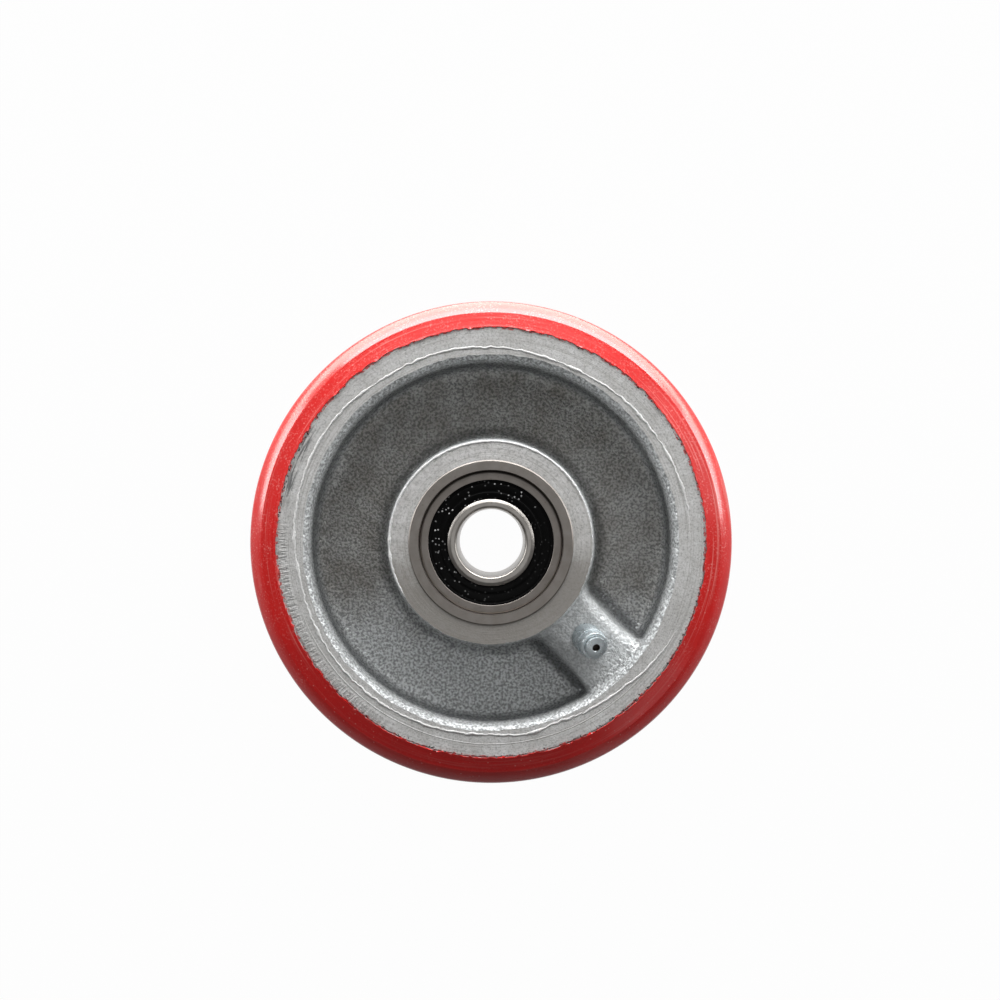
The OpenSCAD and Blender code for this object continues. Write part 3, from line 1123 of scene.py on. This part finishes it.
@dataclass
class Tyre:
    """The cast polyurethane tyre with its turned sides and shoulders."""

    outer_r: float = 88.97
    bond_r: float = 78.6
    half_w: float = 25.0
    crease: Point = (84.1, 23.0)
    shoulder_r: float = 18.6
    steep: float = 33.0
    shallow: float = 53.0
    edge_r: float = 3.0
    lip: tuple[Point, ...] = ((0.0, 0.9), (0.0, 0.28), (0.0, 0.1), (0.12, 0.02))
    lip_reach: float = 1.5
    steps: int = 720

    def outline(self) -> list[Point]:
        """The tyre's whole section."""
        shoulder = (self.crease[0] - self.shoulder_r * math.cos(math.radians(self.shallow)),
                    self.crease[1] - self.shoulder_r * math.sin(math.radians(self.shallow)))
        edge_z = shoulder[1] + (self.shoulder_r - self.edge_r) * math.sin(math.radians(self.steep))
        slope = (self.half_w - self.crease[1]) / (self.crease[0] - self.bond_r)
        pen = Pen(self.bond_r, self.half_w - self.lip[0][1])
        for out, drop in self.lip[1:]:
            pen.to(self.bond_r + out, self.half_w - drop)
        first, last, steps = 0.5, 0.6, 6
        for step in range(steps + 1):
            radius = self.bond_r + first + (self.crease[0] - last - self.bond_r - first) * step / steps
            pen.to(radius, self.half_w - (radius - self.bond_r) * slope)
        pen.to(self.crease[0] - 0.32, self.crease[1] + 0.13)
        pen.to(self.crease[0] - 0.12, self.crease[1] + 0.05)
        pen.arc(shoulder, self.shoulder_r, self.shallow, self.steep, 12)
        pen.arc((self.outer_r - self.edge_r, edge_z), self.edge_r, self.steep - 3, 0, 8)
        for share in (0.8, 0.6, 0.4, 0.2):
            pen.to(self.outer_r, edge_z * share)
        return pen.mirrored()

    def build(self, palette: Palette) -> None:
        """Builds the tyre with its ragged inner lips.

        Args:
            palette: The finishes.
        """
        piece = lathe("polyurethane_tyre", self.outline(), self.steps, crease=12)
        lip = piece.vertex_groups.new(name="lip")
        low, high = (self.half_w - 0.4) * MM, (self.half_w - 0.01) * MM
        near = [v.index for v in piece.data.vertices
                if low < abs(v.co.z) < high and v.co.xy.length < (self.bond_r + 0.05) * MM]
        lip.add(near, 1.0, "REPLACE")
        for name, size, reach in (("lip_waves", 4.0, 0.9), ("lip_rags", 1.1, 1.0)):
            apply_modifier(piece, "DISPLACE", texture=clouds(name, size, 2), texture_coords="LOCAL",
                           vertex_group="lip", mid_level=0.42, strength=self.lip_reach * reach * MM)
        piece.data.materials.append(palette.red)
        hand_over(piece, Body.WHEEL, "polyurethane", "tyre")


RIM_CREST: tuple[Point, ...] = (
    (0, 72.6), (10, 72.7), (43, 71.2), (63, 70.2), (71, 70.2), (88, 71.1), (105, 71.7), (123, 71.4),
    (140, 72.5), (150, 72.7), (174, 72.0), (191, 70.9), (217, 71.1), (232, 71.0), (250, 70.6),
    (269, 70.0), (281, 71.0), (290, 69.8), (301, 70.7), (311, 71.4), (322, 73.2), (331, 74.3),
    (337, 75.0))
# Painted highlight: a light ridge along the hub's outer edge, only on the side towards +Y, where the light
# falls.
HUB_EDGE_HIGHLIGHT: tuple[Point, ...] = ((18, 36.6), (60, 36.75), (100, 36.6), (150, 36.7), (190, 36.75), (214, 36.6))


@dataclass
class PaintRidge:
    """A narrow crest where the paint and the casting's skin were pushed up on a front face; its lighter paint
    is a painted highlight.
    """

    face_z: float
    path: tuple[Point, ...]
    thickness: float = 0.9
    height: float = 0.32
    wave: float = 0.5
    step: float = 0.75
    taper: float = 14.0
    least: Point = (0.05, 0.45)

    def radius_at(self, angle: float) -> float:
        """Radius of the crest's middle line.

        Args:
            angle: Place around the rim in degrees.

        Returns:
            The radius, eased from point to point of the path.
        """
        for (start, near), (end, far) in zip(self.path, self.path[1:]):
            if angle <= end:
                share = (angle - start) / (end - start)
                return near + (far - near) * (3 - 2 * share) * share * share
        return self.path[-1][1]

    def build(self, palette: Palette) -> bpy.types.Object:
        """Builds the crest along its path.

        Args:
            palette: The finishes.

        Returns:
            The crest, to be joined to the core.
        """
        start = self.path[0][0]
        count = round((self.path[-1][0] - start) / self.step)
        points, widths = [], []
        for index in range(count + 1):
            angle = start + index * self.step
            jitter = noise.fractal(Vector((angle * 0.55, 0, 3)), 0.8, 2.0, 3) * self.wave
            end_share = min(1.0, min(index, count - index) * self.step / self.taper)
            swell = 0.85 + 0.9 * noise.noise(Vector((angle * 0.21, 7, 1)))
            widths.append(max(self.least[0], end_share * max(self.least[1], swell)))
            radius = self.radius_at(angle) + jitter
            turn = math.radians(angle)
            points.append(Vector((radius * math.cos(turn), radius * math.sin(turn), self.face_z)) * MM)
        piece = draw_wire("paint_ridge", points)
        round_wire(piece, self.thickness / 2, widths)
        bpy.ops.object.mode_set(mode="EDIT")
        bpy.ops.mesh.select_all(action="SELECT")
        bpy.ops.transform.resize(value=(1, 1, 2 * self.height / self.thickness),
                                 center_override=(0, 0, self.face_z * MM))
        finish_mesh()
        bpy.ops.object.shade_smooth()
        piece.data.materials.append(palette.crest)
        return piece


@dataclass
class Rib:
    """The radial rib under the nipple, flaring where it runs into hub and rim."""

    web_z: float
    angle: float = -45.0
    top: float = 19.4
    flat: float = 7.0
    round_r: float = 5.0
    foot_r: float = 5.0
    draft: float = 8.0
    steps: int = 6
    stations: tuple[Place, ...] = (
        (31.0, 1.14, 18.4), (37.0, 1.10, 18.6), (40.0, 1.02, 18.9), (44.0, 0.98, 19.2), (48.5, 0.97, 19.5),
        (55.0, 0.99, 20.0), (60.0, 1.04, 20.5), (63.0, 1.10, 21.0), (66.0, 1.20, 22.0), (69.0, 1.34, 23.4),
        (73.0, 1.50, 24.2))

    def section(self) -> list[Point]:
        """The rib's section: distance to the side and height of each corner."""
        lean = math.radians(90 - self.draft)
        side = (self.flat + self.round_r * math.sin(lean), self.top - self.round_r * (1 - math.cos(lean)))
        foot_side = self.web_z + self.foot_r * (1 - math.cos(lean))
        foot_x = (side[0] + (side[1] - foot_side) * math.tan(math.radians(self.draft))
                  + self.foot_r * math.sin(lean))
        half = []
        for step in range(self.steps + 1):
            turn = lean * step / self.steps
            half.append((self.flat + self.round_r * math.sin(turn),
                         self.top - self.round_r * (1 - math.cos(turn))))
        for step in range(self.steps + 1):
            turn = lean * (1 - step / self.steps)
            half.append((foot_x - self.foot_r * math.sin(turn),
                         self.web_z + self.foot_r * (1 - math.cos(turn))))
        half.append((foot_x, 0.0))
        return [(-across, height) for across, height in reversed(half)] + half

    def build(self) -> bpy.types.Object:
        """Runs the section from hub to rim, wider or narrower and higher or lower at each station.

        Returns:
            The rib, turned to its place.
        """
        radius, width, height = self.stations[0]
        wire = draw_wire("grease_rib", [Vector((radius, across * width, up * height / self.top)) * MM
                                        for across, up in self.section()])
        close_wire()
        bpy.ops.mesh.select_all(action="SELECT")
        bpy.ops.mesh.edge_face_add()
        for next_radius, next_width, next_height in self.stations[1:]:
            run = {"value": ((next_radius - radius) * MM, 0, 0)}
            bpy.ops.mesh.extrude_region_move(TRANSFORM_OT_translate=run)
            bpy.ops.transform.resize(value=(1, next_width / width, next_height / height),
                                     center_override=(next_radius * MM, 0, 0))
            radius, width, height = next_radius, next_width, next_height
        finish_mesh()
        settle(wire, Matrix.Rotation(math.radians(self.angle), 4, "Z"))
        return wire


@dataclass
class Core:
    """The iron casting: a rough blank, machined on rim faces, hub faces and bores."""

    rim_r: float = 78.6
    rim_z: float = 24.7
    rim_inner_r: float = 70.1
    rim_edge_r: float = 3.5
    web_z: float = 6.5
    hub_r: float = 37.1
    hub_z: float = 30.0
    hub_edge_r: float = 0.9
    boss_r: float = 29.5
    boss_h: float = 0.4
    fillet_r: float = 4.5
    draft: float = 5.0
    allowance: float = 0.4
    seat_r: float = 26.01
    seat_z: float = 14.0
    seat_chamfer: float = 0.3
    cavity_r: float = 23.0
    voxel: float = 0.84
    steps: int = 240

    def lean(self, height: float) -> float:
        """Sideways run of a drafted wall over a height."""
        return height * math.tan(math.radians(self.draft))

    def blank(self) -> bpy.types.Object:
        """The casting as it leaves the mould, without its rib.

        Returns:
            The blank.
        """
        cos = math.cos(math.radians(self.draft))
        hub_top = self.hub_z - self.boss_h + self.allowance
        rim_top = self.rim_z + self.allowance
        foot_z = self.web_z + self.fillet_r
        hub_foot = self.hub_r + self.lean(hub_top - self.hub_edge_r - foot_z) + self.fillet_r * cos
        edge_z = rim_top - self.rim_edge_r
        wall_r = self.rim_inner_r - self.rim_edge_r * cos
        rim_foot = wall_r - self.lean(edge_z - foot_z) - self.fillet_r * cos
        boss_top, boss_edge, boss_foot, rim_extra = self.hub_z + self.allowance, 1.2, 2.0, 1.5
        pen = Pen(0, boss_top).to(self.boss_r + boss_edge, boss_top).to(self.boss_r + boss_foot, hub_top)
        hub_edge = (self.hub_r - self.hub_edge_r * cos, hub_top - self.hub_edge_r)
        pen.arc(hub_edge, self.hub_edge_r, 90, self.draft)
        pen.arc((hub_foot, foot_z), self.fillet_r, 180 + self.draft, 270)
        pen.arc((rim_foot, foot_z), self.fillet_r, 270, 360 - self.draft)
        pen.arc((self.rim_inner_r, edge_z), self.rim_edge_r, 180 - self.draft, 90)
        pen.to(self.rim_r + rim_extra, rim_top)
        return lathe("iron_core", pen.mirrored(), self.steps)

    def roughen(self, piece: bpy.types.Object) -> None:
        """Gives the blank its cast skin.

        Args:
            piece: The blank with its rib joined.
        """
        piece.data.remesh_voxel_size = self.voxel * MM
        piece.data.remesh_voxel_adaptivity = 0
        select_only(piece)
        bpy.ops.object.voxel_remesh()
        apply_modifier(piece, "SMOOTH", factor=0.5, iterations=5)
        for name, size, depth in (("cast_waves", 14.0, 0.3), ("cast_lumps", 3.6, 0.3),
                                  ("cast_grit", 1.7, 0.22)):
            apply_modifier(piece, "DISPLACE", texture=clouds(name, size), texture_coords="LOCAL",
                           mid_level=0.5, strength=depth * MM)

    def machined(self) -> bpy.types.Object:
        """The room that the machining leaves: everything outside it is turned away.

        Returns:
            The solid that the blank is cut back to.
        """
        step_r, edge = 52.0, 0.12
        face_z = self.hub_z - self.boss_h
        pen = Pen(self.cavity_r, 0)
        pen.to(self.cavity_r, self.seat_z).to(self.seat_r, self.seat_z)
        pen.to(self.seat_r, self.hub_z - self.seat_chamfer).to(self.seat_r + self.seat_chamfer, self.hub_z)
        pen.to(self.boss_r, self.hub_z).to(self.boss_r + self.boss_h, face_z)
        pen.to(step_r, face_z).to(step_r, self.rim_z)
        pen.to(self.rim_r - edge, self.rim_z).to(self.rim_r, self.rim_z - edge)
        outline = pen.points + [(radius, -height) for radius, height in reversed(pen.points[1:])]
        return lathe("machining", outline, self.steps * 2)

    def dress(self, piece: bpy.types.Object, palette: Palette) -> None:
        """Gives each machined or cast zone its finish.

        Args:
            piece: The machined casting.
            palette: The finishes.
        """
        finishes = {Zone.CAST: palette.cast, Zone.RIM_FACE: palette.rim_face, Zone.HUB_FACE: palette.hub_face,
                    Zone.BARE: palette.iron, Zone.GREASED: palette.greased}
        piece.data.materials.clear()
        for zone in Zone:
            piece.data.materials.append(finishes[zone])
        select_only(piece)
        bpy.ops.object.shade_smooth_by_angle(angle=math.radians(50))
        level, flat = 0.02, 0.99
        face_z, bare_r = self.hub_z - self.boss_h, self.boss_r + self.boss_h + 0.1
        joint_r = self.seat_r + self.seat_chamfer
        low, high = self.hub_z - self.seat_chamfer, self.hub_z - level
        for zone, belongs in (
                (Zone.RIM_FACE, lambda c, n: abs(abs(c.z) - self.rim_z) < level and abs(n.z) > flat),
                (Zone.HUB_FACE, lambda c, n: abs(abs(c.z) - face_z) < level and abs(n.z) > flat),
                (Zone.BARE, lambda c, n: c.xy.length < bare_r and not abs(abs(c.z) - face_z) < level),
                # Painted shade: the seat chamfer's ring, where the bearing meets the core, is dark.
                (Zone.GREASED, lambda c, n: c.xy.length < joint_r and low < abs(c.z) < high)):
            mark_zone(piece, zone.value, belongs)

    def build(self, palette: Palette, nipple: "Nipple") -> None:
        """Casts, roughens, machines and dresses the core.

        Args:
            palette: The finishes.
            nipple: The nipple that is driven into the rib.
        """
        piece = self.blank()
        join_to(piece, [Rib(self.web_z).build()])
        self.roughen(piece)
        cut(piece, self.machined(), "INTERSECT")
        cut(piece, nipple.spot_face(), "DIFFERENCE")
        self.dress(piece, palette)
        rim_crest = PaintRidge(self.rim_z, RIM_CREST)
        # Painted highlight along the hub's lit edge.
        hub_highlight = PaintRidge(self.hub_z - self.boss_h, HUB_EDGE_HIGHLIGHT, height=0.24, wave=0.2)
        join_to(piece, [rim_crest.build(palette), hub_highlight.build(palette)])
        hand_over(piece, Body.WHEEL, "painted_iron", "wheel_core")


@dataclass
class Nipple:
    """The round grease nipple, driven into the rib, leaning outwards."""

    seat_r: float = 50.3
    seat_z: float = 19.4
    lean: float = 22.0
    angle: float = -45.0
    sink: float = 3.2
    collar: Point = (5.45, 4.6)
    middle: Point = (5.05, 8.0)
    neck: Point = (2.95, 8.5)
    head: Point = (3.9, 9.7)
    shank: Point = (3.0, 8.0)
    hole_r: float = 1.4
    hole_len: float = 1.7
    bore_r: float = 2.1
    outlet_r: float = 1.2
    steps: int = 96

    def placing(self) -> Matrix:
        """Where the nipple's own frame sits in the wheel."""
        turn = Matrix.Rotation(math.radians(self.angle), 4, "Z")
        shift = Matrix.Translation((self.seat_r * MM, 0, self.seat_z * MM))
        return turn @ shift @ Matrix.Rotation(math.radians(self.lean), 4, "Y")

    def spot_face(self) -> bpy.types.Object:
        """The cutter that makes the nipple's seat in the rib.

        Returns:
            The cutter, in its place.
        """
        gap, above = 0.08, 9.0
        hole_r, seat_r = self.shank[0] + gap, self.collar[0] + gap
        hole_z, seat_z = -self.sink - self.shank[1] - gap, -self.sink - gap
        pen = Pen(0, hole_z).to(hole_r, hole_z).to(hole_r, seat_z)
        pen.to(seat_r, seat_z).to(seat_r, above).to(0, above)
        tool = lathe("spot_face", pen.points, self.steps)
        settle(tool, self.placing())
        return tool

    def outline(self) -> list[Point]:
        """The nipple's half section along its own axis."""
        soft, crisp, end = 0.15, 0.12, -self.sink - self.shank[1]
        pen = Pen(self.outlet_r, end).to(self.shank[0] - soft, end)
        pen.to(self.shank[0], end + soft).to(self.shank[0], -self.sink).to(self.collar[0], -self.sink)
        pen.arc((self.collar[0] - 2 * soft, self.collar[1] - 2 * soft), 2 * soft, 0, 90)
        pen.to(self.middle[0] + 0.1, self.collar[1] - 0.1).to(self.middle[0], self.collar[1])
        pen.arc((self.middle[0] - 2 * soft, self.middle[1] - 2 * soft), 2 * soft, 0, 90)
        pen.arc((self.neck[0] + soft, self.middle[1] + soft), soft, 270, 180, 4)
        pen.to(self.neck[0], self.neck[1] - soft)
        pen.arc((self.head[0] - soft, self.neck[1] + soft), soft, -90, 0, 4)
        pen.arc((self.head[0] - crisp, self.head[1] - crisp), crisp, 0, 90, 3)
        pen.to(self.hole_r + crisp / 2, self.head[1]).to(self.hole_r, self.head[1] - crisp / 2)
        edge = self.head[1] - self.hole_len
        pen.to(self.hole_r, edge).to(self.bore_r, edge - (self.bore_r - self.hole_r))
        pen.to(self.bore_r, -1.0).to(self.outlet_r, -1.0)
        return pen.points

    def build(self, palette: Palette) -> None:
        """Builds the nipple in its place.

        Args:
            palette: The finishes.
        """
        piece = lathe("grease_nipple", self.outline(), self.steps)
        piece.data.materials.append(palette.zinc)
        piece.data.materials.append(palette.greased)
        # Partly grease, partly painted shade: the nipple's hole and the groove under its head get the dark
        # finish.
        greased, inside_r, inside_z = 1, self.hole_r + 0.03, self.head[1] - 0.2
        mark_zone(piece, greased, lambda c, n: c.xy.length < inside_r and c.z < inside_z)
        groove_r, floor_z, roof_z = self.head[0] - 0.2, self.middle[1], self.neck[1] + 0.02
        mark_zone(piece, greased, lambda c, n: c.xy.length < groove_r and floor_z < c.z < roof_z)
        settle(piece, self.placing())
        hand_over(piece, Body.WHEEL, "zinc", "nipple_body")


@dataclass
class ValveSpring:
    """The nipple's coil spring, built in one shape; the real spring shortens when the check ball is pushed
    in.
    """

    coil_r: float = 1.6
    wire_r: float = 0.2
    foot: float = -0.78
    top: float = 5.31
    turns: int = 6
    steps: int = 20

    def build(self, palette: Palette, place: Matrix) -> None:
        """Winds the spring and spans it between the wheel and the check ball.

        Args:
            palette: The finishes.
            place: Where the nipple's own frame sits.
        """
        count = self.turns * self.steps
        points = []
        for index in range(count + 1):
            turn = FULL_TURN * index / self.steps
            height = self.foot + (self.top - self.foot) * index / count
            points.append(Vector((self.coil_r * math.cos(turn), self.coil_r * math.sin(turn), height)) * MM)
        piece = draw_wire("valve_spring", points)
        round_wire(piece, self.wire_r)
        bpy.ops.object.mode_set(mode="EDIT")
        finish_mesh(merge=0.001 * MM)
        bpy.ops.object.shade_smooth()
        piece.data.materials.append(palette.wire)
        settle(piece, place)
        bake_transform(piece)
        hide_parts("nipple_spring")
        LOG.info("%s: between the wheel and the check ball", piece.name)


@dataclass
class Bearing:
    """One sealed ball bearing: its rings and outer seal are built, its inside keeps its CAD shape."""

    side: Side
    middle: float = 21.5
    outer_r: float = 26.0
    bore_r: float = 12.5
    half_w: float = 7.5
    chamfer: float = 1.0
    window_r: float = 22.75
    groove: Point = (23.6, 5.6)
    groove_w: float = 1.3
    outer_shoulder: float = 21.9
    inner_shoulder: float = 17.2
    land_r: float = 15.8
    bevel: Point = (1.35, 0.7)
    pitch_r: float = 19.5
    race_r: float = 4.13
    race_gap: float = 0.161
    seal_face: float = 7.01
    seal_relief: tuple[Point, ...] = ((19.3, 0.03), (19.1, 0.14), (18.4, 0.14), (18.2, 0.0), (17.5, 0.0),
                                      (17.3, 0.1))
    steps: int = 192

    def outer_ring(self) -> Pen:
        """Section of the outer ring."""
        race = self.pitch_r - self.race_gap
        reach = math.degrees(math.acos((self.outer_shoulder - race) / self.race_r))
        soft = self.chamfer * 0.55 * 0.15
        half = Pen(self.outer_r, self.half_w - self.chamfer)
        half.arc((self.outer_r - self.chamfer, self.half_w - self.chamfer), self.chamfer, 0, 90, 5)
        half.to(self.window_r + soft, self.half_w).to(self.window_r, self.half_w - soft)
        half.to(self.window_r, self.groove[1] + self.groove_w)
        half.to(self.groove[0], self.groove[1] + self.groove_w).to(*self.groove)
        half.to(self.outer_shoulder, self.groove[1])
        return half.arc((race, 0), self.race_r, reach, 0, 7).doubled()

    def inner_ring(self) -> Pen:
        """Section of the inner ring."""
        race = self.pitch_r + self.race_gap
        reach = math.degrees(math.acos((self.inner_shoulder - race) / self.race_r))
        half = Pen(self.bore_r, self.half_w - self.chamfer)
        half.arc((self.bore_r + self.chamfer, self.half_w - self.chamfer), self.chamfer, 180, 90, 5)
        for along, down in ((0.0, 0.0), (0.12, 0.04), (0.22, 0.12), (0.85, 0.74), (0.95, 0.88), (1.0, 1.1)):
            half.to(self.land_r - self.bevel[0] * (1 - along), self.half_w - self.bevel[1] * down)
        half.to(self.land_r, self.groove[1]).to(self.inner_shoulder, self.groove[1] - 0.4)
        return half.arc((race, 0), self.race_r, reach, 180, 7).doubled()

    def seal(self) -> Pen:
        """Section of the outer seal with its moulded rings."""
        gap, lip_r, face = 0.04, self.land_r + 0.08, self.seal_face
        bead_r, bead_top = self.groove[0] - gap, self.groove[1] + self.groove_w - gap
        pen = Pen(bead_r, self.groove[1] + gap)
        pen.to(bead_r, bead_top).to(self.window_r - gap, bead_top)
        pen.to(self.window_r - 0.15, face - 0.02).to(self.window_r - 0.6, face)
        pen.to(self.window_r - 0.75, face - 0.16).to(self.window_r - 1.35, face - 0.16)
        pen.to(self.window_r - 1.5, face - 0.03)
        for radius, drop in self.seal_relief:
            pen.to(radius, face - drop)
        pen.to(lip_r + 0.9, face - 0.1)
        pen.to(lip_r + 0.5, face - 0.32).to(lip_r + 0.15, face - 0.36).to(lip_r, face - 0.5)
        pen.to(lip_r, face - 1.1).to(lip_r + 1.3, face - 0.8)
        pen.to(self.outer_shoulder - 0.3, face - 0.8)
        return pen.to(self.outer_shoulder + 0.3, self.groove[1] + gap)

    def build(self, palette: Palette) -> None:
        """Builds this side's rings and seal.

        Args:
            palette: The finishes.
        """
        word = self.side.word
        for kind, pen, body, slot, material in (
                ("outer_ring", self.outer_ring(), Body.WHEEL, "bearing_steel", palette.ring_steel),
                ("inner_ring", self.inner_ring(), Body.AXLE, "bearing_steel", palette.steel),
                ("outer_seal", self.seal(), Body.WHEEL, "seal_rubber", palette.seal)):
            piece = lathe(f"{word}_bearing_{kind}", pen.placed(self.side, self.middle), self.steps)
            piece.data.materials.append(material)
            hand_over(piece, body, slot, f"{word}_{kind}")


@dataclass
class Spacer:
    """The tube between the two inner rings."""

    bore_r: float = 12.5
    outer_r: float = 15.4
    half_len: float = 14.0
    edge: float = 0.3
    steps: int = 160

    def build(self, palette: Palette) -> None:
        """Builds the tube with its broken edges.

        Args:
            palette: The finishes.
        """
        pen = Pen(self.bore_r, self.half_len - self.edge)
        pen.to(self.bore_r + self.edge, self.half_len).to(self.outer_r - self.edge, self.half_len)
        pen.to(self.outer_r, self.half_len - self.edge)
        piece = lathe("bore_spacer", pen.mirrored(), self.steps)
        piece.data.materials.append(palette.steel)
        hand_over(piece, Body.AXLE, "spacer_steel", "spacer_tube")


@dataclass
class HiddenParts:
    """CAD nodes inside the bearings and the nipple that keep their shape and get a finish."""

    ball_count: int = 9

    def dress(self, palette: Palette, nodes: dict[str, bpy.types.Object]) -> None:
        """Gives each carried over node its material.

        Args:
            palette: The finishes.
            nodes: The frame's nodes by name.
        """
        finishes = {"nipple_ball": palette.greased}
        for side in Side:
            finishes[f"{side.word}_inner_seal"] = palette.seal
            for piece in ("cage_outer", "cage_inner", "cage_rivets"):
                finishes[f"{side.word}_{piece}"] = palette.cage
            for number in range(1, self.ball_count + 1):
                finishes[f"{side.word}_ball_{number}"] = palette.ball
        for name, material in finishes.items():
            mesh = nodes[name].data
            mesh.materials.clear()
            mesh.materials.append(material)
        LOG.info("finishes for %d carried over nodes", len(finishes))


@dataclass
class Studio:
    """White floor, soft lamps around the wheel and the camera straight above it."""

    floor_z: float = -30.0
    floor_size: float = 6000.0
    wall_height: float = 2500.0
    camera_at: Place = (1.1, 8.0, 600.0)
    lens: float = 56.84
    shift: Point = (0.006, 0.0205)

    def floor(self) -> None:
        """Lays the floor with its raised far edges."""
        bpy.ops.object.select_all(action="DESELECT")
        bpy.ops.mesh.primitive_plane_add(size=self.floor_size * MM, location=(0, 0, self.floor_z * MM))
        plane = bpy.context.object
        plane.name = "studio_floor"
        bpy.ops.object.transform_apply(location=True, rotation=True, scale=True)
        bpy.ops.object.mode_set(mode="EDIT")
        bpy.ops.mesh.select_mode(type="EDGE")
        bpy.ops.mesh.select_all(action="SELECT")
        bpy.ops.mesh.extrude_edges_move(TRANSFORM_OT_translate={"value": (0, 0, self.wall_height * MM)})
        bpy.ops.object.mode_set(mode="OBJECT")
        plane.data.materials.append(FloorFinish().build())

    def lamp(self, name: str, place: Place, size: Point, power: float, aim: Place = (0, 0, 0),
             color: Color = (1.0, 1.0, 1.0)) -> None:
        """Hangs one soft box.

        Args:
            name: The lamp's name.
            place: Where it hangs, in millimetres.
            size: Its width and height.
            power: Its power in watts.
            aim: The point that it faces.
            color: Its colour.
        """
        bpy.ops.object.select_all(action="DESELECT")
        bpy.ops.object.light_add(type="AREA", location=Vector(place) * MM)
        lamp = bpy.context.object
        lamp.name = name
        lamp.rotation_euler = (Vector(aim) - Vector(place)).to_track_quat("-Z", "Y").to_euler()
        lamp.data.shape = "RECTANGLE"
        lamp.data.size = size[0] * MM
        lamp.data.size_y = size[1] * MM
        lamp.data.energy = power
        lamp.data.color = color
        lamp.visible_camera = False

    def world(self, level: float) -> None:
        """Sets the dim room around the wheel.

        Args:
            level: Brightness of the room.
        """
        world = bpy.data.worlds.new("room")
        world.use_nodes = True
        backdrop = world.node_tree.nodes["Background"]
        backdrop.inputs["Color"].default_value = (1.0, 1.0, 1.0, 1.0)
        backdrop.inputs["Strength"].default_value = level
        bpy.context.scene.world = world

    def camera(self) -> None:
        """Puts the camera where the photograph was taken from."""
        bpy.ops.object.select_all(action="DESELECT")
        bpy.ops.object.camera_add(location=Vector(self.camera_at) * MM, rotation=(0, 0, 0))
        camera = bpy.context.object
        camera.data.lens = self.lens
        camera.data.sensor_width = 36.0
        camera.data.shift_x, camera.data.shift_y = self.shift
        camera.data.clip_start = 0.01
        bpy.context.scene.camera = camera

    def build(self) -> None:
        """Sets up the studio."""
        self.floor()
        self.lamp("window", (80, 800, 250), (1500, 560), 21.0, (80, 0, 250))
        self.lamp("table", (0, 480, -28), (1400, 660), 13.5, (0, 480, 500), (1.0, 0.9, 0.82))
        self.lamp("left_window", (-850, 330, 190), (450, 430), 4.0, (0, 0, 190))
        self.lamp("right_window", (850, 300, 190), (450, 430), 3.8, (0, 0, 190))
        self.lamp("small_fill", (740, -740, 1080), (500, 500), 0.35)
        self.lamp("strip", (620, 290, 580), (500, 25), 0.12)
        self.lamp("ceiling", (0, -150, 2000), (1865, 1675), 4.9)
        self.world(0.08)
        self.camera()
        bpy.context.scene.view_settings.view_transform = "Standard"


def main() -> None:
    """Builds the wheel's pieces in order, then the studio."""
    logging.basicConfig(level=logging.INFO, format="%(name)s: %(message)s")
    palette = Palette()
    nipple = Nipple()
    Tyre().build(palette)
    Core().build(palette, nipple)
    nipple.build(palette)
    ValveSpring().build(palette, nipple.placing())
    for side in Side:
        Bearing(side).build(palette)
    Spacer().build(palette)
    HiddenParts().dress(palette, frame["nodes"])
    Studio().build()


if __name__ == "__main__":
    main()
